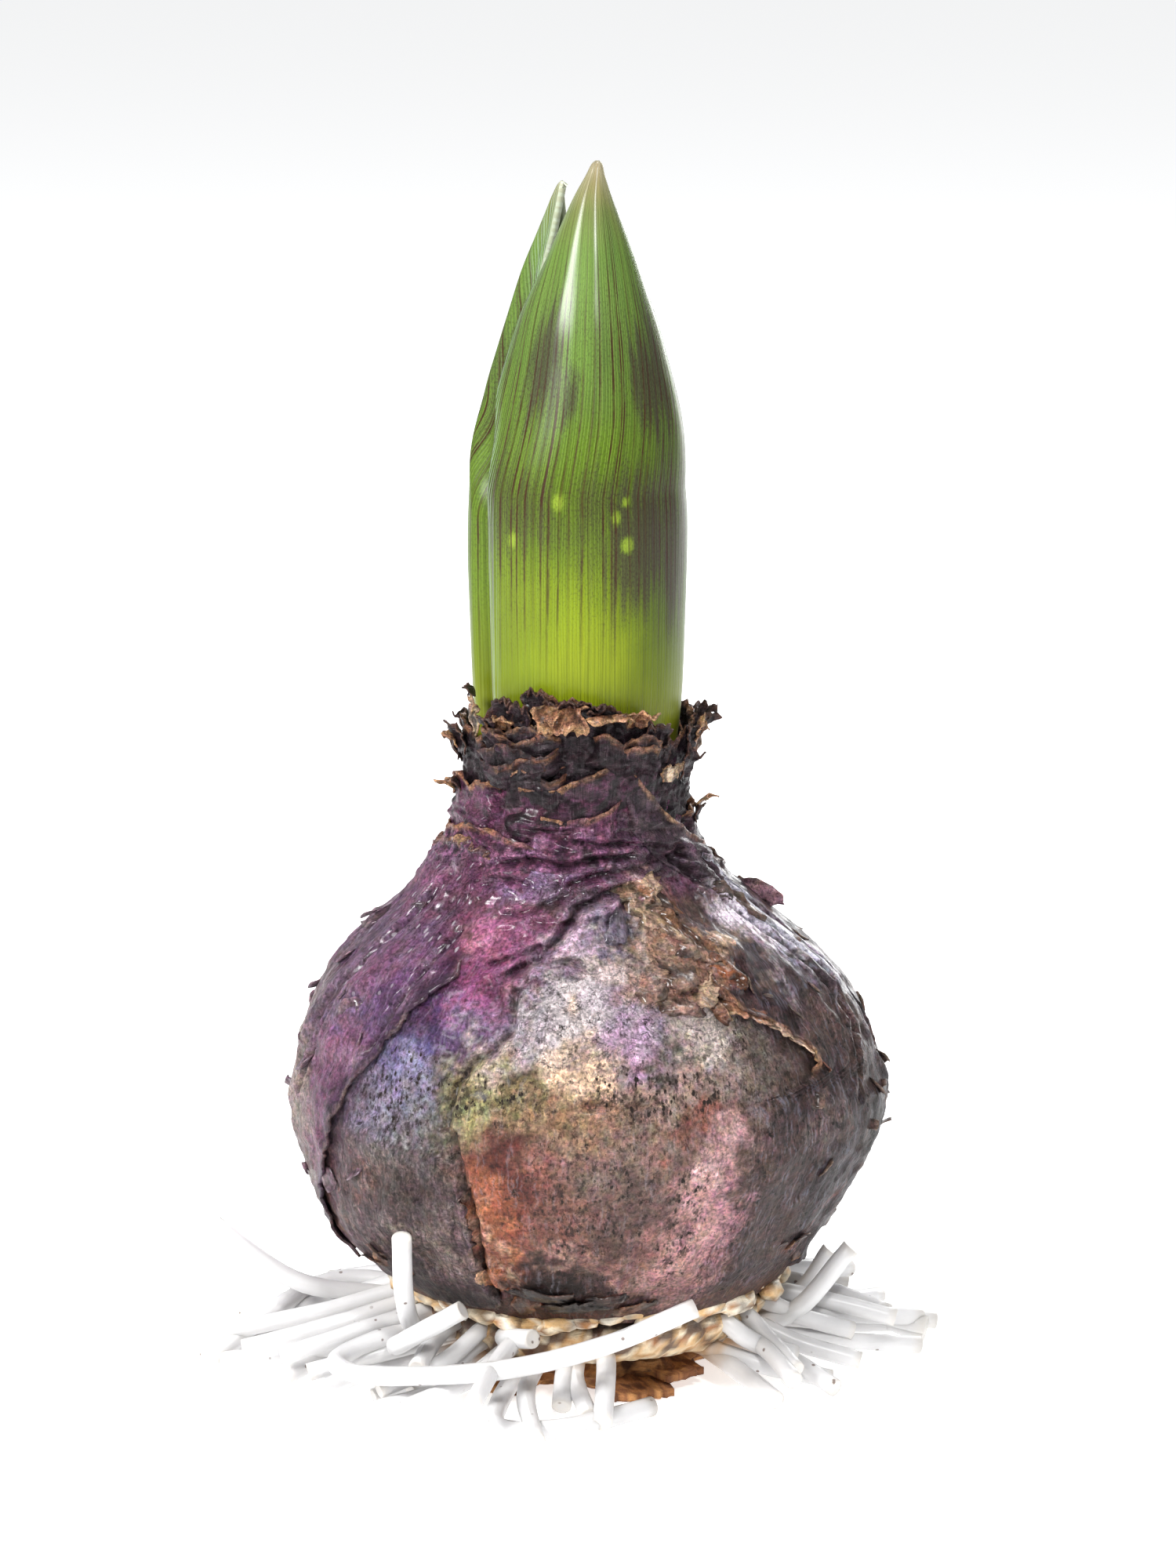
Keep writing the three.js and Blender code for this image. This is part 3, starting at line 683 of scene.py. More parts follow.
# %% Creases and lumps
# each crease: its route, its half width and its depth
CREASES = [
    ([(26, 51.2), (12, 50.7), (2.5, 49.7), (-4.5, 47.2), (-9.5, 46), (-18, 44.2)], 0.5, 1.0),
    ([(-24, 44.8), (-17, 45.6), (-10.5, 46.6)], 0.36, 0.65), ([(-11, 45.2), (-1, 45.5), (5, 44.6)], 0.36, 0.45),
    ([(-15, 43), (-15, 39.5), (-19.5, 37.5), (-23.5, 36.2), (-26.5, 34.2), (-27.5, 30.5)], 0.42, 0.65),
    ([(-31, 53.4), (-17, 53.9), (-3, 53.3), (12, 54), (34, 53.6), (57, 53.8)], 0.36, 0.6),
    ([(-6, 55.9), (10, 55.3), (28, 55), (57, 54.1)], 0.3, 0.45), ([(-25, 56.9), (-11, 56.3), (2, 56.6)], 0.3, 0.35),
    ([(-1, 51.7), (13, 52.5), (34, 52.9), (57, 53.5)], 0.36, 0.6),
    ([(-38, 51.2), (-26, 51.9), (-13, 51.2)], 0.4, 0.35), ([(18, 53.2), (32, 54.4), (46, 54.2)], 0.3, 0.3),
    ([(33, 51.9), (46, 52.6), (57, 53.3)], 0.3, 0.45), ([(20, 49.8), (31, 49), (38, 46.8)], 0.6, 0.5),
    ([(50, 53), (62, 50), (70, 44), (73, 36)], 0.42, 0.7), ([(29, 50.4), (36, 49.2), (43, 46.5)], 0.8, -0.6),
    ([(1.5, 20), (9, 16.8), (9.5, 12.2)], 0.7, -0.5),
    ([(31, 13), (35, 16), (34, 20), (32.5, 26), (33, 29)], 0.9, -0.35),
    ([(-26, 30), (-23.5, 24.8), (-21.5, 20.8), (-21.5, 17), (-21, 12.8)], 0.4, 0.6),
    ([(0, 33.4), (8, 33.1), (15, 33.6)], 0.4, 0.25), ([(-60, 41), (-50, 45), (-40, 49.5), (-36, 53)], 0.9, -0.3),
    ([(70, 33), (64, 40), (60, 47), (62, 52)], 0.6, -0.35), ([(84, 30), (78, 40), (72, 48), (68, 53)], 0.8, -0.4),
    ([(66, 30), (76, 41), (73, 48), (66, 53)], 0.4, 0.5), ([(90, 28), (88, 38), (82, 46), (76, 52)], 0.4, 0.5),
    ([(-26, 48.8), (-14, 49.4), (-2, 50.9), (9, 51.2)], 0.36, 0.45),
    ([(-14, 48.6), (-2, 48.4), (8, 48.8)], 0.4, 0.35), ([(-38, 47), (-44, 42), (-50, 36)], 0.4, 0.5),
    ([(-62, 50), (-68, 40), (-74, 30)], 0.45, 0.5), ([(-52, 50), (-58, 44), (-64, 36)], 0.6, -0.35),
    ([(-92, 44), (-98, 34), (-96, 24)], 0.8, 0.4), ([(-84, 26), (-76, 34), (-66, 44), (-58, 51)], 0.8, 0.4),
]
# each lump: azimuth, height, half width, half height and rise
LUMPS = [
    [41, 43.4, 1.6, 1.7, 1.0], [33.5, 47, 2.0, 1.6, 0.6], [23.5, 43.6, 2.6, 1.3, 0.7], [29.5, 41.2, 2.4, 1.2, 0.8],
    [33.5, 50.4, 1.8, 1.2, 0.6], [47, 45.4, 2.0, 1.4, 0.5], [18, 42.6, 1.6, 1, 0.5], [-4, 40, 4, 3, 0.35],
    [10, 38.5, 4, 3, 0.3], [-24, 47.5, 3, 2, 0.35], [22, 16, 3.4, 3, 0.4], [-6, 14, 4, 2.2, 0.5],
    [-36, 20, 5, 4, 0.5], [15.5, 47.8, 2.2, 1.4, -0.4],
]


def off_route(route, azimuth, z, radius):
    """How far this place is from a route, in mm over the surface."""
    nearest = 99.0
    scale = math.radians(radius)
    for (a0, z0), (a1, z1) in zip(route, route[1:]):
        px, pz = (azimuth - a0) * scale, z - z0
        qx, qz = (a1 - a0) * scale, z1 - z0
        t = unit((px * qx + pz * qz) / (qx * qx + qz * qz))
        nearest = min(nearest, math.hypot(px - t * qx, pz - t * qz))
    return nearest


CREASE_BOXES = []
for route, width, depth in CREASES:
    (left, right), (low, high) = ((min(side), max(side)) for side in zip(*route))
    CREASE_BOXES.append((left - 9, right + 9, low - 3, high + 3))
print(len(CREASES), "creases and", len(LUMPS), "lumps are placed.")

# %% [markdown]
# ### The shared height map
# One function adds it all up: broad dents, ribs that run up the bulb, crumples in three sizes that fade at the neck
# and the foot, crosswise folds on the neck, and then the creases and lumps. It is noise bent to the bulb's form, so
# nothing repeats.

# %% How far the skin rises


def relief(azimuth, z):
    """How far the skin rises here, in mm."""
    azimuth = wrapped(azimuth)
    radius = body_radius(min(z, NECK_TOP))
    spot = at(0, azimuth, radius, z)
    belly = ease(9, 16, z) * (1 - ease(49, 54, z))
    high = 0.5 * noise.noise(spot / 9) + (0.1 + 0.14 * belly) * noise.noise(spot / 3.1)
    ribs = Vector((math.sin(math.radians(azimuth)) * 26, math.cos(math.radians(azimuth)) * 26, z * 0.06))
    high += 0.2 * belly * noise.noise(ribs / 2.4)
    high += 0.42 * belly * (0.3 - abs(noise.noise(spot / 2.3 + Vector((7, 0, 0)))))
    high += 0.2 * belly * (0.3 - abs(noise.noise(spot / 1.05 + Vector((3, 0, 0)))))
    turn = Vector((spot.x * 0.22, spot.y * 0.22, z * 0.85))
    neck = ease(47, 52, z)
    high += 0.7 * neck * (0.3 - abs(noise.noise(turn + Vector((0, 0, 0.016 * azimuth)))))
    high += 0.28 * neck * (0.3 - abs(noise.noise(turn * 2.3)))
    for (route, width, depth), (a0, a1, z0, z1) in zip(CREASES, CREASE_BOXES):
        if a0 < azimuth < a1 and z0 < z < z1:
            far = off_route(route, azimuth, z, radius)
            far += 0.25 * noise.noise(spot / 1.3)
            high -= 1.35 * depth * bell(far / width)
            high += 0.5 * abs(depth) * bell((far - 1.8 * width) / width)
    for a0, z0, wide, tall, rise in LUMPS:
        if abs(z - z0) < 1.5 * tall:
            rough = 0.3 * noise.noise(spot / 0.9)
            far = off_blob(azimuth - a0, z - z0, wide, tall, radius) + rough
            high += 1.2 * rise * (1 - ease(0.55, 1.1, far)) * (1 + 1.4 * rough)
    return high


print("Skin stands out by", round(relief(41, 43.4), 2), "mm on the largest scab.")

# %% [markdown]
# ### Colours of the bare skin
# Down the front the outer skin has worn away, and what shows runs from wine purple at the neck through magenta and
# bluish silver to olive, orange and pink near the base. The blobs below place those patches.

# %% Colour blobs of the bulb
# each blob: azimuth, height, half width, half height, colour and strength
BULB_BLOBS = [
    [0, 24, 30, 16, "7a6055", 0.95], [-52, 36, 12, 18, "4e4050", 0.9], [55, 30, 16, 26, "463a34", 0.9],
    [-28.5, 33.2, 5, 7, "585645", 0.9], [-20.5, 33.7, 5, 3.8, "9c9968", 0.85], [-12, 35.2, 6, 2, "544b38", 0.7],
    [-8, 34.4, 4, 2.6, "7d7749", 0.75], [-27, 38.5, 4, 2.6, "625c58", 0.6], [-18, 36, 1.6, 1.2, "9a9a62", 0.8],
    [-41, 34.8, 5, 4.4, "807da2", 0.9], [-44, 31.5, 4.5, 4, "8a8496", 0.85], [-36, 30.5, 4.4, 4, "7c7d80", 0.7],
    [-38, 36.4, 2, 1.2, "a7a3c0", 0.7], [-33, 27, 5, 3, "5d5a5c", 0.7], [-4, 31.6, 8, 2.2, "a58a66", 0.7],
    [8, 30, 6, 3, "7f6c60", 0.8], [-10, 30, 5, 1.4, "6a5a48", 0.7], [-1, 35.2, 3.6, 2.6, "dcc4a6", 0.95],
    [-4.5, 39.2, 4.6, 3.6, "d2c2ac", 0.95], [-8, 42, 4.4, 2.6, "bdbbbe", 0.9], [-1, 42.4, 3, 1.6, "d0ccca", 0.8],
    [-14, 40.5, 3, 3.4, "a59fa6", 0.85], [-18, 37.6, 3, 2.2, "b4a898", 0.75], [-20, 40.5, 2.6, 3, "8a7896", 0.7],
    [10, 38.6, 3.8, 4.2, "b7a0b8", 0.9], [9.5, 36, 2, 1.6, "bb98b4", 0.8], [5, 41.5, 3, 2, "c6c3c6", 0.85],
    [8, 44.6, 4.2, 2.4, "d4cac8", 0.9], [3, 47.4, 3, 1.2, "b6aab4", 0.8], [-8, 45, 3.4, 1.6, "8f8092", 0.8],
    [15, 41, 2.6, 3, "a89cac", 0.8], [8, 48.6, 4.6, 1.5, "b09cae", 0.9], [31, 38.2, 5.4, 3.4, "c2bdb4", 0.9],
    [24, 39.4, 3, 2, "b0a7a4", 0.8], [22, 36.6, 5, 2.2, "958a82", 0.85], [16, 34, 8, 2.4, "a89084", 0.9],
    [38, 34.5, 5, 4, "71665e", 0.8], [27, 33.6, 5, 2, "80746c", 0.8], [6, 36.4, 2, 1.2, "8c8b80", 0.6],
    [15, 36.2, 1.4, 1.2, "46443e", 0.8], [20, 37.6, 1, 1, "4c5148", 0.8], [23, 43.6, 4.8, 2.2, "a58470", 0.95],
    [30, 42.4, 3.6, 2.2, "8e6c54", 0.9], [18, 45.4, 3, 1.2, "94847c", 0.7], [26, 45.6, 2.4, 1, "a58c76", 0.8],
    [15.5, 47.8, 3.2, 1.9, "6c6878", 0.9], [21, 49, 2.4, 1.4, "584851", 0.8], [30, 51.2, 4.6, 1.4, "b88460", 0.9],
    [27.5, 48.4, 2.4, 2.4, "cbb093", 0.9], [34, 46.8, 2.6, 2.2, "9a7250", 0.9], [41, 43.4, 1.7, 1.8, "a86a3c", 0.95],
    [39, 48.6, 3, 1.8, "5f4b42", 0.8], [45, 46, 3.4, 1.6, "9a7b59", 0.8], [34, 50, 2, 1, "d0a478", 0.8],
    [36, 44.6, 2, 1, "c09a70", 0.7], [-24, 47.4, 5.4, 3.6, "874a6a", 0.95], [-30.5, 47.4, 2.2, 1.7, "c08299", 0.9],
    [-25.5, 49, 2.4, 1.2, "b4749a", 0.8], [-20, 46.6, 1.6, 1, "b06a90", 0.7], [-28, 43.4, 5, 3.6, "80426a", 0.95],
    [-31, 39.4, 5, 2.8, "4f3560", 0.95], [-37, 44, 3.4, 4, "542a4e", 0.9], [-34.5, 46.8, 2, 3, "6a3a54", 0.8],
    [-24, 42, 2.4, 1.6, "a2608e", 0.6], [-26, 40.6, 2, 1.4, "8f7397", 0.7], [-13, 47.6, 4, 1.6, "865073", 0.85],
    [-18, 44.6, 2.4, 1.1, "64304f", 0.85], [-36, 37.4, 3, 1.6, "514a78", 0.8], [-16, 23, 5.4, 8.6, "723f20", 0.95],
    [-13.5, 26.4, 5, 3.6, "4e1e14", 0.95], [-7, 27, 3.4, 2.6, "906050", 0.8], [-20, 23, 2, 7, "985a2e", 0.85],
    [-17, 15.4, 3, 4, "6e3a1a", 0.95], [-20.4, 20.4, 0.9, 2.2, "c0a890", 0.6], [-18.6, 15.6, 1.0, 2.4, "c8b49c", 0.6],
    [-15, 18.4, 1.2, 2.4, "c0844f", 0.8], [-12, 22, 2, 4, "7c4334", 0.7], [-4, 21.5, 5.6, 6, "765145", 0.9],
    [5, 25.6, 5, 5.4, "75635a", 0.9], [9, 19, 5.4, 5, "634942", 0.85], [13, 24, 4, 5, "5f4e48", 0.7],
    [-6.5, 14.6, 5.6, 3, "2e1d1a", 0.95], [4, 14.6, 3, 2.6, "4a3935", 0.85], [9.4, 14.4, 1.0, 3.6, "a98478", 0.7],
    [5.5, 18.2, 1.0, 2.4, "9a766c", 0.6], [-2, 17.6, 3, 1.4, "9b8175", 0.7], [25.5, 21, 4.6, 9.4, "b4908f", 0.95],
    [27.5, 28, 3.6, 3.8, "b0908e", 0.9], [22, 15, 5.4, 4.6, "aa8480", 0.9], [18.5, 20, 2, 5, "94706a", 0.8],
    [31, 20, 1.8, 8, "a97f88", 0.85], [24, 26, 1, 2, "dcc0c0", 0.6], [-4, 12.2, 8, 1.9, "241815", 0.95],
    [15, 16.4, 2.6, 3, "765850", 0.85], [20, 30.4, 2.4, 1.6, "8a4c38", 0.6],
]
print(len(BULB_BLOBS), "blobs of colour lie on the bulb.")

# %% [markdown]
# ### Colours of the neck, specks and cracks
# The neck is wine purple; the thin pale blobs along its folds are painted highlights on the fold ridges, and the thin
# dark one is painted shade in a fold. Two more lists say where soil and mould have speckled the skin, and where it has
# cracked into a net. These zones don't colour anything themselves: the finish reads them.

# %% Blobs of the neck, specked and cracked zones
# the thin pale blobs at 54.2 and 54.6 mm are painted highlights on fold ridges, and the thin dark one at 55.8 mm is
# painted shade in a fold
NECK_BLOBS = [
    [-12, 56, 7, 3.4, "885672", 0.9], [-28.5, 54.5, 4.6, 2, "7c3c60", 0.9], [-40, 51.5, 5, 2.4, "6d3c60", 0.8],
    [-15, 52, 3.2, 1.7, "8a7892", 0.8], [-24, 51.4, 2.6, 1.4, "96749a", 0.8], [2, 52.3, 4.4, 1.1, "7f6a84", 0.7],
    [14, 51.8, 3.4, 0.9, "73606f", 0.6], [-3, 55.8, 5, 0.7, "2c1d29", 0.85], [-14, 57.4, 4, 0.7, "8a4470", 0.8],
    [6, 54.2, 6, 0.5, "9c6488", 0.7], [22, 56.6, 5, 1.2, "47303f", 0.8], [-2, 58.4, 5, 0.8, "70345a", 0.8],
    [45, 53, 5, 2, "3f3038", 0.85], [28, 53, 4, 1, "5a4350", 0.7], [20, 54.6, 4, 0.4, "8d7086", 0.6],
    [34, 51.4, 2.6, 0.8, "b09a86", 0.6],
]
SPECKS = [
    [-41, 33, 7, 6, 1], [0, 24, 9, 8, 0.9], [19, 21, 3, 9, 0.95], [15, 34, 10, 3.6, 1], [38, 34, 6, 7, 0.8],
    [-20, 33.5, 7, 3, 1], [-4, 14, 7, 3, 0.9], [26, 22, 4, 8, 0.35], [-16, 22, 4, 6, 0.4], [31, 38, 5, 3, 0.5],
]
CRACKED = [
    [-5, 40, 8, 6, 1], [12, 41, 7, 5, 1], [-13, 51, 5, 2, 0.8], [30, 38.5, 6, 3, 0.8], [-2, 33, 10, 3, 0.7],
    [26, 45, 8, 5, 0.7],
]


def amount(zones, azimuth, z, radius):
    """The strongest of these soft zones at this place, 0 to 1."""
    most = 0.0
    for a0, z0, wide, tall, strength in zones:
        if abs(z - z0) < 1.3 * tall:
            far = off_blob(azimuth - a0, z - z0, wide, tall, radius)
            most = max(most, strength * (1 - ease(0.5, 1.3, far)))
    return most


print(len(NECK_BLOBS), "blobs of colour lie on the neck.")

# %% [markdown]
# ### The skin's colour at each place
# Each crease is darkened in its hollow as painted shade, and the lip beside it is lightened as a painted highlight, so
# the creases colour the skin as well as shape it. The tint is painted in the order in which it came: the old skin, the
# worn patches, the wine purple neck and the brown foot.

# %% Tint and marks of the bare skin


def creased(colour, azimuth, z):
    """The colour with painted shade in the creases and a painted highlight on the lip beside them."""
    radius = body_radius(min(z, NECK_TOP))
    for (route, width, depth), (a0, a1, z0, z1) in zip(CREASES, CREASE_BOXES):
        if depth > 0 and a0 < azimuth < a1 and z0 < z < z1:
            far = off_route(route, azimuth, z, radius) + 0.2 * noise.noise(at(0, azimuth, radius, z) / 0.7)
            # a painted highlight on the lip beside the crease, then painted shade in the crease itself
            lip = min(1, depth) * bell((far - 1.7 * width) / (0.6 * width))
            colour = colour.lerp(colour * 1.4 + Vector((0.06, 0.05, 0.065)), 0.7 * lip)
            deep = min(1, 1.4 * depth) * bell(far / (0.7 * width))
            colour = colour.lerp(srgb("2e1627" if z > 44 else "30271f"), 0.75 * deep)
    return colour


def bulb_tint(azimuth, z):
    azimuth = wrapped(azimuth)
    radius = body_radius(z)
    side = blotches(azimuth, z, radius, ["4a3838", "6a544c", "5a4650", "766260"], 5, 3)
    colour = painted(side, BULB_BLOBS, azimuth, z, radius)
    upper = blotches(azimuth, z, radius, ["4b2c40", "6d3b5c", "57354c", "3c2a36"], 3, 8)
    colour = colour.lerp(upper, ease(48.5, 52, z + 0.6 * noise.noise(at(0, azimuth, radius, z) / 2)))
    colour = painted(colour, NECK_BLOBS, azimuth, z, radius, reach=1.8)
    foot = ease(13, 10.4, z + 1.2 * noise.noise(at(0, azimuth, radius, z) / 3))
    foot *= 0.8 - 0.55 * ease(5, 14, azimuth) * ease(50, 38, azimuth)
    colour = colour.lerp(srgb("52321f"), foot)
    return creased(colour, azimuth, z)


def bulb_marks(azimuth, z):
    """How specked, how cracked and how glossy the bare skin is here."""
    azimuth = wrapped(azimuth)
    radius = body_radius(z)
    gloss = max(ease(44, 52, z), 0.8 * (1 - ease(1, 8, abs(azimuth - 30) * 0.3 + abs(z - 45))))
    specks = max(0.25 * (1 - ease(44, 50, z)), amount(SPECKS, azimuth, z, radius))
    return specks, max(0.15, amount(CRACKED, azimuth, z, radius)), gloss


print("Specks, cracks and gloss at the front:", [round(mark, 2) for mark in bulb_marks(0, 40)])

# %% [markdown]
# ### One recipe for every papery skin
# All skins are the same tissue at different ages, so one recipe serves with other numbers: long upright fibres, clouds
# of lighter and darker pigment, dark specks of soil and mould, a net of fine cracks, and glossy places where the
# surface is fresh. Pale streaks in the sheen colour are a painted sheen, and on the neck thin dark fold lines are
# painted shade with painted highlights on the ridges between them. The `marks` attribute turns specks, cracks and gloss
# up or down over the piece.

# %% Finish: papery skin
SKIN_GAIN = (2.24, 2.02, 2.06)  # makes up for what the fibres, clouds and specks take away


def skin_finish(name, speck="2a1e19", fibre=0.5, sheen="c8c4d2", shine=0.3, dots=0.0, coat=0.08):
    skin = Recipe(name, Coat_Roughness=0.2, Specular_IOR_Level=0.22)
    tint = skin.attribute("tint")
    marks = skin.attribute("marks")
    specks, cracked, gloss = (skin.part(marks, i) for i in range(3))
    place = skin.place_in_mm()
    x, y, z = (skin.part(place, i) for i in range(3))
    around = skin.node("Math", {0: x, 1: y * -1.0}, operation="ARCTAN2")
    warp = skin.grain(place, 0.35, 3.0)
    fibres = skin.grain(skin.flat(around * 78 + warp * 5, z * 0.3), 1.0, 5.0, 0.65)
    clouds = skin.grain(place, 0.6, 7.0, 0.68, 0.5)
    fine = skin.grain(place, 3.0, 4.0, 0.7)
    grit = skin.grain(place, 1.5, 6.0, 0.75, 0.3)
    drift = skin.node("TexNoise", {"Vector": place, "Scale": 0.9, "Detail": 6.0, "Roughness": 0.7}, out=1)

    colour = skin.times(skin.node("Gamma", {"Color": tint, "Gamma": 1.22}), SKIN_GAIN)
    colour = skin.node("HueSaturation", {"Color": colour, "Saturation": 0.9})
    colour = skin.blend(0.5, colour, drift, "OVERLAY")
    colour = skin.times(colour, 0.5 + clouds.step(0.25, 0.75))
    colour = skin.times(colour, (1 - fibre * 0.9) + fibres.step(0.2, 0.8) * (fibre * 1.8))
    colour = skin.times(colour, 0.2 + fine.step(0.3, 0.7) * 0.85 + grit.step(0.25, 0.75) * 0.75)
    # pale streaks in the sheen colour where fibres and clouds are light: a painted sheen
    pale = (fibres - 0.5).step(0.0, 0.12) * (clouds - 0.4).step(0.0, 0.2) * shine
    colour = skin.blend(pale * 0.7, colour, sheen)

    stain = skin.drawn(place, (1.0, 1.0, 0.6), 1.25, 7.0, 0.72)
    dark = (stain + specks * 0.12 - 0.64).step(0.0, 0.05)
    dot = skin.dots(skin.flat(around * 56, z * 1.3))
    dark = dark + (specks * 0.5 + stain - dot * 1.3 - 0.55).step(0.0, 0.12) * specks
    colour = skin.blend(dark * 0.7, colour, speck)
    bent = skin.node("VectorMath", {0: place, 1: skin.stretched(drift, (2.2, 2.2, 2.2))}, operation="ADD")
    long = skin.lines(bent, 0.42, 2.0).step(0.02, 0.003)
    short = skin.lines(bent, 1.15, 3.0).step(0.03, 0.004)
    worm = skin.lines(bent, 1.9, 2.0)
    crack = long * 0.9 + short * 0.8 + worm.step(0.045, 0.005) * 0.6
    crack = crack * (0.12 + cracked * 0.88) * (clouds - 0.36).step(0.0, 0.2)
    colour = skin.blend(crack * 0.75, colour, speck)
    if dots:
        pore = skin.dots(skin.flat(around * 27, z * 0.8), randomness=0.7)
        pores = pore.step(0.24, 0.14) * (stain - 0.36).step(0.0, 0.06) * gloss
        colour = skin.blend(pores * dots, colour, "e6dbe6")
    ridges = skin.lines(skin.stretched(bent, (1.0, 1.0, 0.55)), 0.95, 4.0, 0.6)
    level = skin.flat(around * 8.0 + warp * 3, z * 1.7 + warp * 2)
    silk = skin.lines(level, 1.0, 4.0, 0.6, 0.4) * z.step(47.0, 53.0)
    # thin dark lines in the neck's folds are painted shade, and the ridges between them get the sheen colour as painted
    # highlights
    colour = skin.blend(silk.step(0.04, 0.0) * z.step(47.0, 53.0) * 0.55, colour, speck)
    colour = skin.blend(silk.step(0.12, 0.24) * fine * 0.5, colour, sheen)
    height = fine * 0.7 + grit * 1.5 + fibres * (0.8 * fibre) + clouds * 0.4 + worm * 1.5 + ridges * 1.6
    height = height + silk * 5.0 - crack * 0.4 - dark * 0.15
    rough = 0.46 - gloss * 0.18 + (fine - 0.5) * 0.3 + dark * 0.15
    skin.feed("Coat Weight", coat + gloss * grit.step(0.4, 0.6) * 0.6)
    return skin.finish(colour, rough, height, 0.0006, 1.0)


BARE_SKIN = skin_finish("bare bulb skin", fibre=0.12, shine=0.3, coat=0.1)
print("Made the finish:", BARE_SKIN.name)

# %% [markdown]
# ### The bulb
# The bulb is a body of fleshy scales under its skin, and only the skin shows. Its profile is spun once round, and the
# height map then moves each point of the side in or out. The top is a shallow socket in which the leaves stand.

# %% The bulb
bulb_bm = bmesh.new()
bulb_bm.verts.layers.float_color.new("marks")
skin_rows = 190
profile = [[0, 9.0]] + [[body_radius(9) * share, 9.0] for share in (0.35, 0.7, 0.9)]
profile += [[1.0, mix(9.0, NECK_TOP, j / skin_rows)] for j in range(skin_rows + 1)]
profile += [[0.93, NECK_TOP + 0.1], [0.89, NECK_TOP - 0.5], [0.87, 56], [0.86, 52], [0.0, 52]]


def bulb_place(j, azimuth, radius, z):
    if j < 4:
        return at(body_x(9), azimuth, radius, z)
    if j > skin_rows + 4:
        return at(SHOOT_X, azimuth, radius * body_radius(NECK_TOP) if radius else 0, z)
    return on_body(azimuth, z, relief(azimuth, z) * ease(9, 10, z))


turned(bulb_bm, profile, 420, bulb_place, bulb_tint)
marks = bulb_bm.verts.layers.float_color["marks"]
for vert in bulb_bm.verts:
    x, y, z = vert.co / MM
    vert[marks] = (*bulb_marks(math.degrees(math.atan2(x, -y)), z), 1.0)
piece("bulb_skin", bulb_bm, BARE_SKIN, replaces=("bulb",))

# %% [markdown]
# ## Loose outer skins
# Three thin papery skins still wrap the sides: a purple one on the left, a brown one on the right, and a slate-grey
# rest at the lower left. Each is one grid wrapped on the shared height map, a little above the bare skin. Torn paper
# has a border that wanders at every scale, so the grid's margins follow the measured tears and noise frays them.
# The last millimetre curls up, and is thin, dry and tan.

# %% The loose skins' outlines
SHEETS = {
    "tunic_left": {
        "first": -205, "last": -48,
        "tear0": through([[11, 1], [22, 5], [38, -3], [54, 4]]),
        "tear1": through([
            [11, -24], [19, -20], [24, -13], [31, -7], [38, 4.5], [43, 13], [45, 16.5], [50, 13], [54, 15],
        ]),
        "low": lambda u: 11.5 + 1.2 * math.sin(8 * u),
        "high": lambda u: 54 + 0.9 * math.sin(9 * u) - 2.5 * ease(0.3, 0, u),
        "stuck": lambda azimuth, z: ease(43, 47, z) * ease(54, 52.6, z) * ease(-58, -46, azimuth),
    },
    "tunic_right": {
        "first": 42, "last": 146,
        "tear0": through([
            [11, -13.5], [20, -11], [26, -9], [32, -6], [33.6, 11], [38, 8], [40.8, -4], [44, -6.5], [47.5, 3],
            [52.5, 18],
        ]),
        "tear1": through([[11, 0], [24, -5], [36, 3], [52, -4]]),
        "low": lambda u: 11.3 + 0.7 * math.sin(7 * u),
        "high": lambda u: 52.5 + 0.8 * math.sin(7 * u + 1),
        "stuck": lambda azimuth, z: ease(72, 60, azimuth) * (0.75 * ease(34.6, 33.4, z) + ease(42, 44, z)),
    },
    "tunic_lower": {
        "first": -61, "last": -23,
        "tear0": through([[10, -5], [20, -1], [30, 9]]),
        "tear1": through([[10, 1], [16, 1], [26, -0.5], [30, -3.5]]),
        "low": lambda u: 10.4,
        "high": lambda u: 30 + 0.6 * math.sin(6 * u),
        "stuck": lambda azimuth, z: max(ease(23, 27, z), ease(-44, -52, azimuth)),
    },
}
print("Loose skins:", ", ".join(SHEETS))

# %% [markdown]
# ### Laying a torn sheet
# Wet paper laid on a bulb follows it and only its border stands off. So a sheet takes its height from the shared map,
# lifts a little, and curls along its margin. Where it is still stuck, its border sinks in and its colour runs into the
# bare skin's.

# %% A torn sheet on the height map


def sheet_place(shape, u, v, seed):
    """Azimuth, height and distance to the nearest border, in mm, of a place on a loose skin."""
    z = mix(shape["low"](u), shape["high"](u), v)
    stray = shape["tear0"](z) * (1 - u) ** 3 + shape["tear1"](z) * u**3
    azimuth = mix(shape["first"], shape["last"], u) + stray
    radius = body_radius(z)
    wide = math.radians(shape["last"] - shape["first"]) * radius
    tall = shape["high"](u) - shape["low"](u)
    side, top, foot = min(u, 1 - u) * wide, (1 - v) * tall, v * tall
    spot = at(0, azimuth, radius, z) + Vector((seed, 0, 0))
    fray = 0.9 * noise.noise(spot / 2.2) + 0.55 * noise.noise(spot / 0.7)
    azimuth += math.degrees(fray / radius) * (1 - ease(0, 3, side)) * (1 if u > 0.5 else -1)
    z += (0.8 * fray - 0.2) * (1 - ease(0, 2.5, top)) - 0.5 * fray * (1 - ease(0, 2, foot))
    return azimuth, z, min(side, top, foot * 1.2)


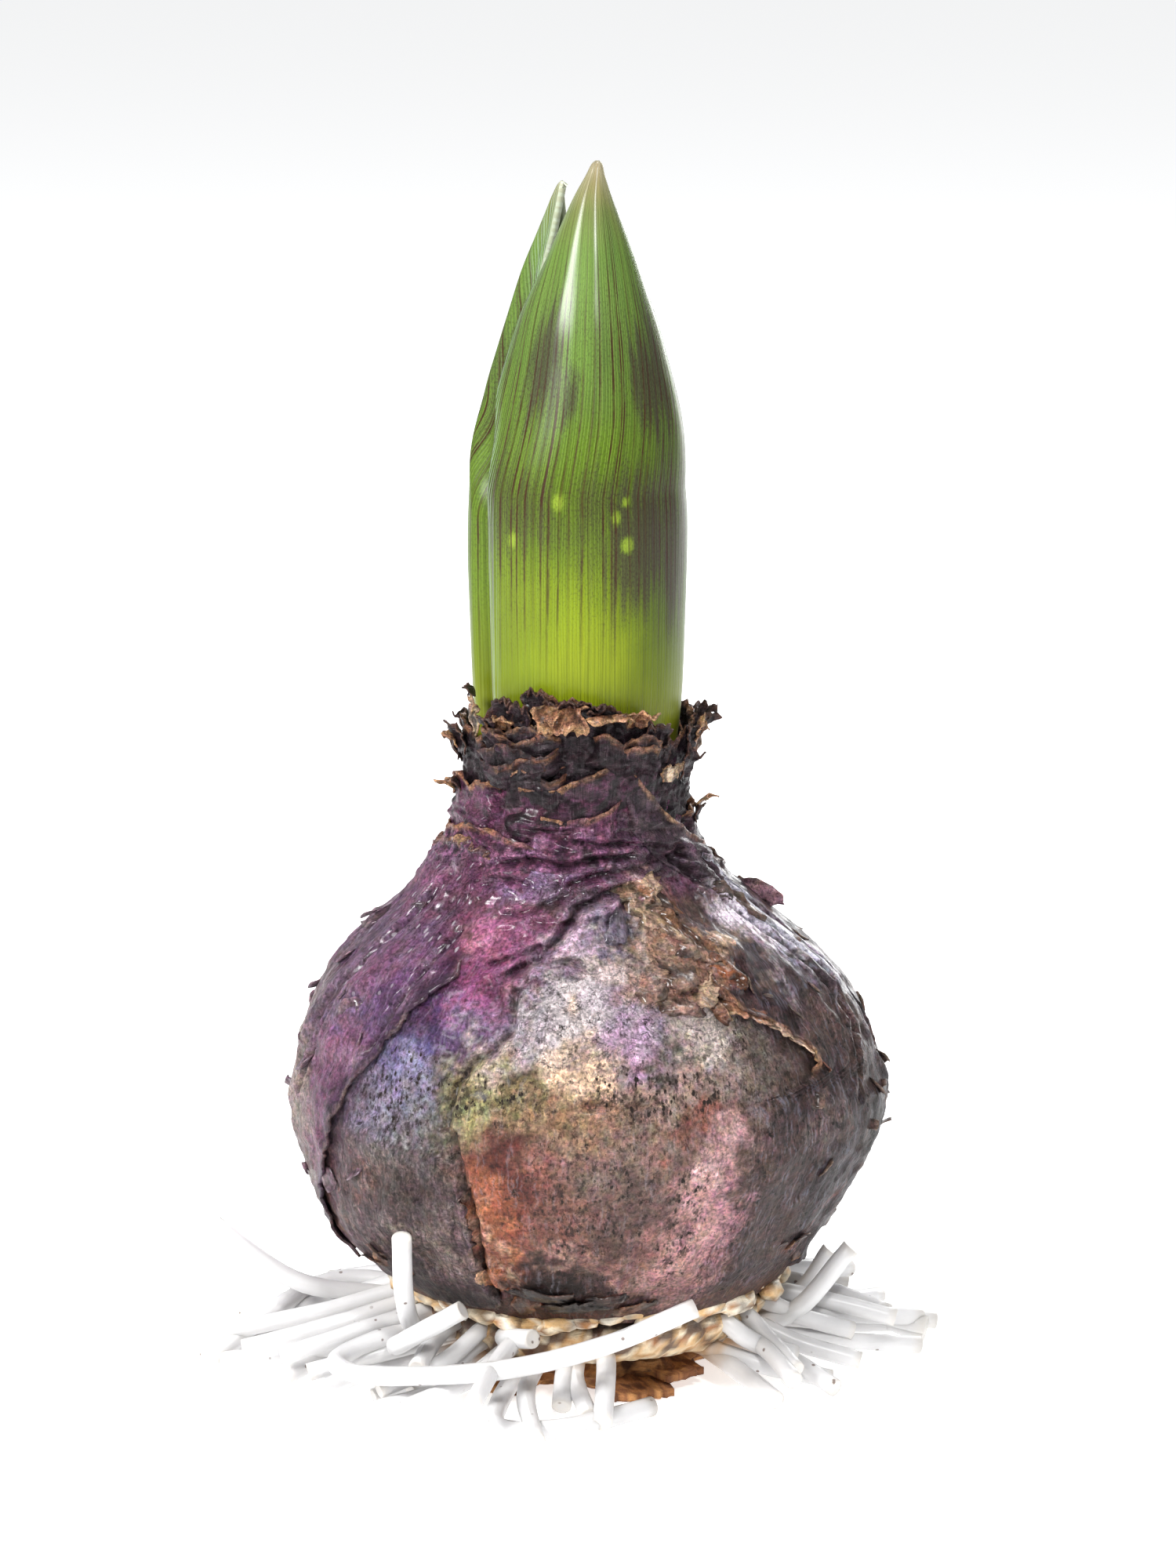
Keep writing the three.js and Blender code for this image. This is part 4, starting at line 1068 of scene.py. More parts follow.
def loose_skin(name, across, along, tint, marks_at, seed, curl=0.5):
    shape = SHEETS[name]
    bm = bmesh.new()
    layer = bm.verts.layers.float_color.new("marks")

    def place(u, v):
        azimuth, z, border = sheet_place(shape, u, v, seed)
        spot = at(0, azimuth, body_radius(z), z)
        ripple = 0.5 + 0.5 * noise.noise(spot / 2.6 + Vector((seed, 3, 0)))
        lift = 0.36 + curl * ripple * (1 - ease(0, 1.6, border)) + 0.16 * ripple
        lift = mix(lift, mix(-0.35, 0.45, ease(0, 2.2, border)), min(1, shape["stuck"](azimuth, z)))
        fold = 0.16 * noise_at(azimuth * 0.32, z * 0.06, seed)
        return on_body(azimuth, z, relief(azimuth, z) + lift + fold + 0.08)

    def merged_tint(u, v):
        azimuth, z, border = sheet_place(shape, u, v, seed)
        colour = creased(tint(azimuth, z, border), azimuth, z)
        merge = 1 - ease(0.6, 4.5, border + noise_at(azimuth, z, 0))
        merge *= min(1, shape["stuck"](azimuth, z))
        return colour.lerp(bulb_tint(azimuth, z), merge) if merge > 0 else colour

    made = bent_grid(bm, across, along, place, tint=merged_tint)
    for i, vert in enumerate(made):
        u, v = (i % (across + 1)) / across, (i // (across + 1)) / along
        vert[layer] = (*marks_at(*sheet_place(shape, u, v, seed)), 1.0)
    return bm


print("A torn sheet can be laid on the bulb.")

# %% [markdown]
# ### Colours of the loose skins
# The left skin is purple with grey worn places and a painted bluish sheen, the right one dark brown with a painted
# silvery sheen on its shoulder, and the lower rest slate. Each is painted as the bare skin was, and then gets its dry
# tan border.

# %% Colour blobs of the loose skins
# the bluish blob at azimuth -58 and height 39 is a painted sheen
LEFT_BLOBS = [
    [-61, 51, 6, 3, "85506f", 0.85], [-38, 51, 4, 3, "64344f", 0.8], [-34, 46.5, 2.6, 3, "35293c", 0.9],
    [-48, 47, 5, 3, "6b4a6e", 0.7], [-59.5, 43.2, 5, 3, "7d5672", 0.85], [-58, 39, 6, 2.4, "6c607e", 0.8],
    [-50, 42, 4, 2.4, "63406a", 0.8], [-57.5, 36.6, 4.6, 3, "7f556e", 0.75], [-48, 38.5, 3.4, 3.2, "4c2c52", 0.8],
    [-66, 34, 5, 4, "774a68", 0.7], [-60, 31, 4, 5, "5c3552", 0.8], [-62.5, 27, 3, 5, "6a4058", 0.8],
    [-72, 28, 4, 6, "82786f", 0.85], [-70, 46, 5, 4, "59405a", 0.8], [-80, 40, 8, 8, "5f5460", 0.7],
    [-84, 30, 8, 12, "80766e", 0.9], [-76, 20, 8, 6, "6d625c", 0.9], [-68, 15, 8, 4, "5a504d", 0.9],
]
# the pale blue-white blobs high on the shoulder, from azimuth 58 to 87, are a painted sheen
RIGHT_BLOBS = [
    [50, 49, 5, 3, "57483f", 0.8], [54.5, 45.7, 1.6, 2, "a58d71", 0.8], [62, 45, 4, 8, "44373a", 0.8],
    [62, 48, 2.6, 4, "efebf4", 0.95], [72, 50.5, 2.6, 3, "ccd2de", 0.9], [77, 45, 2.0, 5, "ccd2de", 0.85],
    [68, 45.5, 1.2, 5.6, "b8bac6", 0.8], [58, 44, 1.0, 5, "9a8f92", 0.7], [87, 42, 1.2, 7, "b0b4c0", 0.7],
    [84, 40, 1.6, 8, "8a8792", 0.6], [60, 38, 6, 4, "62504a", 0.8], [70, 34, 7, 6, "54453c", 0.8],
    [48, 24, 6, 9, "56443e", 0.8], [58, 22, 6, 6, "40363a", 0.8], [52, 29, 5, 2.6, "7a6a66", 0.7],
    [46, 16, 5, 4, "564640", 0.8], [64, 17, 5, 3, "3a302f", 0.8], [70, 22, 4, 3, "4b3a3c", 0.7],
    [76, 26, 6, 5, "3d3a34", 0.8], [58, 15.5, 4, 1.2, "8a4f3a", 0.6], [66, 19.6, 5, 0.8, "8a4f3a", 0.6],
]
LOWER_BLOBS = [
    [-45.5, 25, 6, 0.9, "7a4c40", 0.7], [-52, 22, 5, 1, "6f4a40", 0.6], [-40, 27, 6, 2.4, "77706a", 0.8],
    [-34, 24, 5, 4, "514a48", 0.8], [-30, 17.4, 4.4, 3.6, "80726c", 0.85], [-40, 24, 4, 2.6, "4b3834", 0.7],
    [-50, 15, 7, 3, "4c4442", 0.8], [-56, 26, 3.4, 3, "5a4a4c", 0.7], [-28, 27, 2.4, 3, "4b443f", 0.8],
    [-38, 19, 5, 1.4, "8a8078", 0.6],
]


print(len(LEFT_BLOBS) + len(RIGHT_BLOBS) + len(LOWER_BLOBS), "blobs of colour lie on the loose skins.")

# %% Tints and marks of the loose skins


def torn_border(colour, azimuth, z, border, tan="9c7752", width=0.7):
    """The dry tan rim of a torn skin, broken here and there."""
    spot = at(0, azimuth, body_radius(min(z, NECK_TOP)), z)
    broken = 0.5 + noise.noise(spot / 2.4)
    rim = 1 - ease(0.3 * width, width, border + 0.5 * noise.noise(spot / 0.8))
    return colour.lerp(srgb(tan), rim * min(1, max(0.1, broken)))


def left_tint(azimuth, z, border):
    radius = body_radius(z)
    side = blotches(azimuth, 0.45 * z, radius, ["5a3a54", "70466a", "7a5f72", "64445c", "80687a"], 5, 1)
    colour = painted(side, LEFT_BLOBS, azimuth, z, radius)
    dark = (1 - ease(0.3, 2.6, border)) * ease(-80, -68, azimuth)
    colour = colour.lerp(srgb("35203a"), 0.8 * dark)
    return torn_border(colour, azimuth, z, border, "a5805c" if z > 52 else "6d5a58", 0.9 if z > 52 else 0.5)


def right_tint(azimuth, z, border):
    radius = body_radius(z)
    side = blotches(azimuth, z, radius, ["2a1c1f", "503a3a", "3a2a31", "5e483f"], 4, 2)
    colour = painted(side, RIGHT_BLOBS, azimuth, z, radius)
    curled = 33 < z < 43.5 and azimuth < 66
    return torn_border(colour, azimuth, z, border, "b0895f" if curled else "6e5140", 1.2 if curled else 0.6)


def lower_tint(azimuth, z, border):
    radius = body_radius(z)
    side = blotches(azimuth, z, radius, ["45373a", "5f4e50", "6e605e"], 3, 4)
    colour = painted(side, LOWER_BLOBS, azimuth, z, radius)
    colour = colour.lerp(srgb("3b322f"), 0.8 * ease(14, 11, z))
    return torn_border(colour, azimuth, z, border, "8d7a6c", 0.5)


def left_marks(azimuth, z, border):
    return 0.35 * (1 - ease(30, 40, z)), 0.15, ease(34, 50, z) * (1 - 0.6 * ease(-70, -84, azimuth))


def right_marks(azimuth, z, border):
    return 0.75 * (1 - ease(34, 46, z)), 0.3, 0.55 * ease(30, 46, z)


def lower_marks(azimuth, z, border):
    return 0.45, 0.8, 0.2


print("Gloss high on the left skin:", left_marks(-60, 50, 5)[2])

# %% [markdown]
# ### Making the loose skins
# Each skin is one grid with its own numbers for the shared recipe: the purple one has rows of pale pores, the brown one
# strong fibres with a painted grey sheen, and the slate one is dull and cracked. The wall is 0.3 mm, as measured.

# %% The three loose skins
PURPLE_SKIN = skin_finish(
    "purple outer skin", speck="221322", fibre=0.4, sheen="b8aec8", shine=0.35, dots=0.8, coat=0.12
)
BROWN_SKIN = skin_finish("brown outer skin", speck="1d1614", fibre=0.9, sheen="98a2ba", shine=0.6, coat=0.14)
SLATE_SKIN = skin_finish("slate outer skin", speck="2d2523", fibre=0.8, sheen="a39a96", shine=0.25, coat=0.05)
left_bm = loose_skin("tunic_left", 220, 120, left_tint, left_marks, 11)
piece("purple_skin", left_bm, PURPLE_SKIN, replaces=("tunic_left",), thick=0.3)
right_bm = loose_skin("tunic_right", 160, 120, right_tint, right_marks, 23, curl=0.9)
piece("brown_skin", right_bm, BROWN_SKIN, replaces=("tunic_right",), thick=0.3)
lower_bm = loose_skin("tunic_lower", 70, 60, lower_tint, lower_marks, 37)
piece("slate_skin", lower_bm, SLATE_SKIN, replaces=("tunic_lower",), thick=0.3)

# %% [markdown]
# ### Scabs and loose flakes
# Where the skins were rubbed off, a crust of dried tissue is left: curled tongues, scabs and a torn hem of tan paper.
# Smaller flakes stand off all over the loose skins and catch the light at the outline. Each is one small grid in its
# own plane, which is laid on the height map, crumpled, sunk along its border and lifted along one edge.

# %% A scab or flake


def flake(bm, azimuth, z, wide, tall, turn, colours, seed, rise=0.4, lift=0.0, cells=(10, 8), border=-0.7):
    """A scab of this size, turned by this angle, whose far edge stands off by lift while the others sink in."""
    layer = bm.verts.layers.float_color["marks"]
    radius = body_radius(z)
    co, si = math.cos(math.radians(turn)), math.sin(math.radians(turn))

    def spread(u, v):
        ragged = 0.5 * noise_at(u * wide * 0.9, v * tall * 0.9, seed)
        ragged += 0.4 * noise_at(u * wide * 2.1, v * tall * 2.1, seed)
        side, up = 2 * u - 1, 2 * v - 1
        side, up = side * math.sqrt(1 - 0.4 * up * up), up * math.sqrt(1 - 0.4 * side * side)
        side, up = 0.55 * side * wide * (1 + ragged), 0.55 * up * tall * (1 + ragged)
        return azimuth + math.degrees((side * co - up * si) / radius), z + side * si + up * co

    def crumpled(u, v):
        coarse = abs(noise_at(u * wide / 1.3, v * tall / 1.3, seed))
        return 0.55 - 1.3 * coarse - 0.5 * abs(noise_at(u * wide / 0.5, v * tall / 0.5, seed))

    def place(u, v):
        a, high = spread(u, v)
        rim = max(abs(2 * u - 1), 1 - 2 * v, (2 * v - 1) if not lift else 0)
        out = mix(border, rise * (0.5 + crumpled(u, v)) - 0.1, 1 - ease(0.4, 1, rim))
        return on_body(a, high, relief(a, high) + 0.45 + out + lift * v**3)

    def tint(u, v):
        pick = 0.5 + 0.9 * noise_at(u * wide / 1.1, v * tall / 1.1, seed + 3)
        colour = srgb(colours[0]).lerp(srgb(colours[1]), unit(pick))
        # the crests of the crumple are lightened and its hollows darkened: painted light and shade
        colour *= 1.15 - 0.75 * ease(0.35, -0.15, crumpled(u, v))
        edge = 0.8 * ease(0.8, 0.97, v) * (0.6 + 0.8 * noise_at(u * wide, 0, seed))
        return colour.lerp(srgb(colours[2]), edge)

    made = bent_grid(bm, *cells, place, tint=tint)
    for vert in made:
        vert[layer] = (0.3, 0.2, 0.6, 1.0)


print("A scab sinks in at its border and lifts at one edge.")

# %% [markdown]
# ### Placing the scabs and flakes
# The cluster of scabs at the upper right, the hem that hangs from it and the black rags at the foot are placed one by
# one. The small flakes are scattered by chance, fewer where the front is bare, with more of them near the foot.

# %% Scabs, the torn hem and loose flakes
AMBER, CRUST, CREAM = ["96704e", "644634", "ccac88"], ["947c6c", "655046", "bca690"], ["bca48c", "937a62", "dac4a8"]
# each scab: azimuth, height, width, height of it, turn, colours, rise and lift of its far edge
SCABS = [
    (29, 51.2, 5.6, 2.0, 8, CREAM, 0.35, 0.0), (33, 50.2, 5.2, 1.5, -38, AMBER, 0.45, 0.0),
    (36.5, 47.6, 5.4, 1.5, -62, AMBER, 0.5, 0.0), (27.4, 49, 4.2, 3.2, 20, CREAM, 0.3, 0.0),
    (32, 47.4, 4.4, 1.5, -52, CREAM, 0.4, 0.0), (41.5, 43.2, 2.6, 3.2, 20, ["945c30", "66401f", "c4966a"], 0.9, 0.0),
    (40, 45, 1.3, 1.1, 0, AMBER, 0.8, 0.0), (27, 43.8, 4.4, 2.6, -12, CRUST, 0.7, 0.0),
    (31.5, 42.4, 4.6, 1.0, 200, CREAM, 0.3, 0.7), (35.5, 43.4, 2.2, 0.8, 40, CREAM, 0.3, 0.7),
    (33, 40.6, 3.4, 1.2, -50, AMBER, 0.6, 0.2), (23.5, 41.6, 4.2, 1.8, -8, CRUST, 0.6, 0.0),
    (17.5, 42.6, 3.4, 1.2, 6, CRUST, 0.5, 0.2), (37, 45.6, 4.2, 2.2, -20, CRUST, 0.5, 0.0),
    (46.5, 46, 3.0, 1.6, -50, CREAM, 0.4, 0.3), (44, 44, 1.6, 1.4, 0, CREAM, 0.5, 0.0),
    (45.8, 43, 1.0, 0.9, 0, AMBER, 0.5, 0.0), (15, 47.8, 3.4, 2.2, 60, ["5a5664", "746c7a", "928c9a"], 0.5, 0.2),
    (38.6, 40.9, 3.4, 1.6, 170, AMBER, 0.3, 0.6), (43.5, 39.9, 3.4, 1.3, 164, AMBER, 0.35, 0.7),
    (48.6, 38.2, 3.2, 1.1, 145, CREAM, 0.3, 0.7), (53, 36.4, 3.2, 0.9, 138, CREAM, 0.3, 0.6),
    (56.6, 34.2, 2.6, 0.7, 120, ["8a5c48", "6a4238", "a4684c"], 0.3, 0.5),
    (-19.5, 14.4, 3.0, 2.6, 80, ["9a6438", "6c4026", "d2b690"], 0.4, 0.3),
    (6, 12.4, 5.4, 1.3, 10, ["30201b", "4a3026", "7a553c"], 0.15, 0.0),
    (-9, 12.4, 7.4, 2.0, -6, ["241815", "35241e", "553c2c"], 0.2, 0.2),
    (-2, 11.2, 7.4, 1.6, 8, ["1e1512", "30201a", "4c3528"], 0.25, 0.2),
    (14, 11.0, 5.0, 1.3, 14, ["5c3a28", "7a5238", "a07850"], 0.15, 0.2),
    (-15, 11.4, 3.6, 2.2, 20, ["5c3a24", "8a5c36", "c09468"], 0.5, 0.0),
    (99.5, 47.4, 3.0, 2.2, 70, ["a88894", "c4a0a8", "8a6a64"], 0.2, 2.6),
]
FLAKES = 150
scab_bm = bmesh.new()
scab_bm.verts.layers.float_color.new("marks")
for i, (azimuth, z, wide, tall, turn, colours, rise, lift) in enumerate(SCABS):
    flake(scab_bm, azimuth, z, wide, tall, turn, colours, 2.3 * i, rise, lift, cells=(14, 10))
chance = draws(733)
for i in range(FLAKES):
    azimuth, height, pick = 360 * next(chance) - 180, next(chance), next(chance)
    if i % 3 == 0:
        height = 13 + 3.2 * height
        shade = [["4a3830", "6e5040", "a87c50"], ["3a2c2a", "584840", "7d6a5c"]][i % 2]
    else:
        height = 18 + 32 * height
        shade = [["5a4450", "78606c", "9a8490"], ["4a3c36", "6c5a50", "97826e"]][0 if azimuth < -30 else 1]
    if (-26 if i % 3 == 0 else -48) < azimuth < 46:
        continue
    size = 0.7 + 1.3 * pick
    turn, lift = 360 * next(chance), 0.35 + 0.75 * next(chance)
    flake(scab_bm, azimuth, height, size * 1.3, size, turn, shade, 90 + i, 0.1, lift, cells=(4, 4), border=-0.1)
SCAB_FINISH = skin_finish("dried scabs", speck="2a1c16", fibre=0.2, sheen="d8ccc0", shine=0.2, coat=0.3)
piece("scabs_and_flakes", scab_bm, SCAB_FINISH, thick=0.12)

# %% [markdown]
# ## The torn neck
# Where last year's leaves died back, the tops of many skins end in a collar of torn layers. Each is a strip wrapped
# part of the way round. Its upper edge follows a measured tear, curls outward and has dried to tan. The innermost
# ring is the darkest and is crumpled hard, with short flaps and twisted rags standing off it.

# %% The neck's surface and its torn strips


def on_neck(azimuth, z, out=0.0):
    """A place on the neck, which turns from the bulb's outline to the shoot's as it rises."""
    low = min(z, NECK_TOP)
    t = ease(57, 62, z)
    body = body_radius(low) + lobes(azimuth, low)
    collar = shoot_radius(z) + 1.5 - 0.1 * (z - NECK_TOP)
    return at(mix(body_x(low), SHOOT_X, t), azimuth, mix(body, collar, t) + out, z)


def crumple(azimuth, z, seed, size=1.5):
    spot = at(0, azimuth, 11, z) / size + Vector((seed, seed, 0))
    spot.z *= 0.7
    ridge = 0.5 - 1.4 * abs(noise.noise(spot))
    return 0.7 * ridge + 0.5 * (0.4 - abs(noise.noise(spot * 2.1))) + 0.25 * noise.noise(spot * 4.3)


def strip(bm, route, foot, out, colours, tan, seed, hard=0.3, curl=0.5, fray=0.5, along=34):
    """A torn strip whose top edge runs through (azimuth, height) places; its foot lies this far below the edge."""
    top = through([list(p) for p in route])
    first, last = route[0][0], route[-1][0]
    closed = last - first >= 359
    across = max(16, int((last - first) / 1.6))
    layer = bm.verts.layers.float_color["marks"]

    def spread(u, v):
        azimuth = mix(first, last, u)
        if not closed:
            azimuth += 16 * abs(2 * u - 1) ** 3 * noise_at(u, v * foot / 2, seed)
        spot = at(0, azimuth, 11, 0)
        fine = noise.noise(spot / 1.1 + Vector((0, 0, seed))) + 0.6 * noise.noise(spot / 0.4 + Vector((0, 0, seed)))
        high = top(azimuth) + fray * fine
        low = top(azimuth) - foot
        z = mix(low, high, v)
        side = 9.0 if closed else min(u, 1 - u) * math.radians(last - first) * 11
        return azimuth, z, high - z, side

    def place(u, v):
        azimuth, z, border, side = spread(u, v)
        height = relief(azimuth, z) * (1 - ease(56, 60, z)) + hard * crumple(azimuth, z, seed)
        ripple = 0.6 + 0.5 * noise_at(azimuth * 0.12, seed, 0)
        lip = curl * max(0, ripple) * (1 - ease(0, 1.1, border)) ** 1.5
        tuck = 0.5 * (1 - ease(0, 0.35, v)) + (out + 0.7) * (1 - ease(0, 1.6, side))
        return on_neck(azimuth, z, out + height + lip - tuck)

    def tint(u, v):
        azimuth, z, border, side = spread(u, v)
        colour = blotches(azimuth, z, 11, colours, 2.2, seed)
        # the hollows of the crumple are darkened: painted shade
        deep = ease(0.1, -0.4, crumple(azimuth, z, seed))
        colour = creased(colour * (1 - 0.45 * deep), azimuth, z) if z < 58 else colour * (1 - 0.45 * deep)
        spot = at(0, azimuth, 11, z)
        rim = 1 - ease(0.3, 0.85, border + 0.3 * noise.noise(spot / 0.7))
        broken = min(1, max(0.15, 0.8 + 1.5 * noise.noise(spot / 2.1 + Vector((0, 0, seed)))))
        shade = blotches(azimuth, z, 11, [tan, "8a6444", tan], 0.9, seed + 1)
        return colour.lerp(shade, rim * broken)

    made = bent_grid(bm, across, along, place, tint=tint)
    for vert in made:
        vert[layer] = (0.15, 0.1, 0.3, 1.0)
    if closed:
        bmesh.ops.remove_doubles(bm, verts=made, dist=2e-6)


PURPLES = ["4c2c44", "7c4968", "5c3651", "8e6080", "402b38"]
DARKS = ["20161d", "38262f", "281b23", "4a3340"]
print("The neck is", round(2 * (shoot_radius(64) + 1.1), 1), "mm wide at 64 mm.")

# %% [markdown]
# ### The strips in their places
# The lowest and outermost strips are wine purple, still soft, and merge with the bulb. The higher ones are nearly
# black. Each table row is one strip, so a layer can be moved or torn anew by changing one line. The last two rows are
# closed rings, the outer and the inner face of the collar round the leaves.

# %% The strips, from the lowest and outermost to the innermost ring
RING = [
    (-180, 65.6), (-150, 66.4), (-120, 65.4), (-95, 66), (-80, 65.2), (-68, 65.4), (-58, 64.8), (-48, 68),
    (-38.5, 69.2), (-31.5, 68.8), (-27.5, 67.6), (-23, 69.6), (-19, 70.1), (-11.5, 69.8), (-6, 69.3), (-0.5, 69.5),
    (5, 68.6), (10.5, 68.1), (20.5, 67.9), (26.5, 67.4), (33, 67.9), (37.5, 67.8), (40.5, 66.3), (47, 64.7),
    (60, 64.6), (72, 65.5), (92, 66.2), (118, 66.6), (150, 65.4), (180, 65.6),
]
# each strip: route of its edge, depth, stand-off, colours, rim colour, seed, crumple, curl, fray and rows of its grid
STRIPS = [
    ([(-92, 55.4), (-74, 55.7), (-51, 56.4), (-35, 56.2), (-22, 55.4), (-12, 54.6)],
     4.2, 0.55, PURPLES, "a5764a", 3, 0.2, 0.5, 0.25),
    ([(-26, 58.6), (-20, 58.2), (-8, 57.8), (4, 57.9), (15, 58.5), (26, 60)],
     5, 0.5, PURPLES, "a07a56", 5, 0.25, 0.45, 0.12),
    ([(22, 63.4), (30, 61.6), (40, 59.4), (48, 57.8), (58, 56.2), (70, 54.6), (80, 53.6)],
     5.5, 0.7, ["3b2a33", "52404a", "463640"], "a98a6a", 7, 0.2, 0.35, 0.12),
    ([(66, 56.4), (80, 57.5), (96, 56.6), (120, 58), (150, 57), (180, 58.4), (206, 57.2), (236, 57.6), (262, 57)],
     7, 0.5, DARKS + ["5c4450"], "9a7450", 9, 0.35, 0.8, 0.6),
    ([(-98, 60), (-84, 60.4), (-70, 60.8), (-60, 60.2), (-50, 60.9), (-40, 60.2)],
     5.5, 0.8, ["4a2f40", "6b405c", "38262f"], "9c7048", 13, 0.3, 0.7, 0.5),
    ([(-36, 61), (-19, 60.5), (-8.5, 61), (5, 62), (13.5, 62.8), (25.5, 63.7), (36, 64.3), (50, 63.8)],
     5, 0.75, ["3a2431", "57324a", "2b1d25", "4a2c40"], "a9825a", 15, 0.3, 0.6, 0.2),
    ([(-44, 62.4), (-34, 62.1), (-24, 62.6), (-14, 61.6), (-2, 62.4)], 3.6, 1.0, DARKS, "9b7a5c", 17, 0.6, 0.6, 0.5),
    ([(4, 65.6), (12, 66.3), (20, 65.4), (30, 66), (40, 65.2), (48, 64.2)],
     3.4, 1.3, DARKS, "7d6048", 41, 0.8, 0.6, 0.5, 20),
    ([(16, 64), (26, 64.9), (38, 64.6), (46, 63.4)], 3, 1.5, DARKS, "8a6a50", 43, 0.8, 0.5, 0.4, 18),
    (RING, 11, 0.1, DARKS, "8f6c4c", 19, 0.75, 0.25, 0.55, 60),
    ([(a, z - 1.6) for a, z in RING], 8, -0.75, ["3b2d30", "57453d", "8a7458"], "b09470", 21, 0.35, 0.1, 0.7, 30),
]
neck_bm = bmesh.new()
neck_bm.verts.layers.float_color.new("marks")
for row in STRIPS:
    strip(neck_bm, *row)
print(len(neck_bm.faces), "faces in the torn strips")

# %% [markdown]
# ### Flaps and rags
# Short scraps stand off the collar: stiff tan flaps that hang forward, dark rags like burnt paper, and a pale strip
# with a dark tip at the left. Each is a small grid, bent outward along its length, curled across, and torn at its end.

# %% A flap


def flap(bm, azimuth, foot, wide, long, lean, colours, seed, out=1.0, curl=0.5, twist=0.0, droop=0.0):
    """A scrap that starts at this azimuth and height, rises by its length, and leans out by lean at its tip."""
    layer = bm.verts.layers.float_color["marks"]

    def place(u, v):
        belly = 0.7 + 0.4 * math.sin(math.pi * min(1, v * 0.9)) + 0.6 * noise_at(seed + (u > 0.5), v * long, 2)
        side = (u - 0.5) * wide * belly
        spot = Vector((seed, side / 0.9, v * long / 0.9))
        ragged = noise_at(seed, side * 1.6, 0) + 0.5 * noise_at(seed, side * 5, 0)
        tip = long * v * (1 - (0.18 + 0.4 * ragged) * v * v)
        rise = tip * (1 - droop * v)
        lift = lean * v * v + curl * abs(u - 0.5) * 2 * (0.3 + v) + 0.4 * noise.noise(spot)
        turn = math.degrees((side * math.cos(twist * v) + tip * 0.2 * math.sin(twist)) / 11.5)
        lift += side * math.sin(twist * v) + 0.13 * v * math.sin(5.5 * side + seed)
        return on_neck(azimuth + turn, foot + rise + 0.25 * noise.noise(spot * 1.7), out + lift)

    def tint(u, v):
        pick = 0.5 + 0.8 * noise_at(u * wide * 0.9, v * long * 0.5, seed)
        colour = srgb(colours[0]).lerp(srgb(colours[1]), unit(pick))
        stripe = 0.72 + 0.9 * noise_at(u * wide * 2.6, v * long * 0.3, seed + 5)
        edge = ease(0.75, 1, v) + ease(0.8, 1, abs(2 * u - 1))
        return (colour * stripe).lerp(srgb(colours[-1]), min(0.8, 0.7 * edge))

    made = bent_grid(bm, 18, 14, place, tint=tint)
    for vert in made:
        vert[layer] = (0.1, 0.05, 0.4, 1.0)


print("A flap bends outward along its length.")

# %% [markdown]
# ### Placing the flaps
# The ones in front follow the photograph, and those round the back continue them. Four more crumpled strips, one above
# the other at the front left, make the knot where many dry tops are pressed together.

# %% Flaps, rags and the crumpled knot
TAN, BURNT, PALE = ["a5794f", "7a5639", "c09a70"], ["2c2025", "4a3840", "6a4d3c"], ["d8c9ab", "bba98a", "a07a52"]
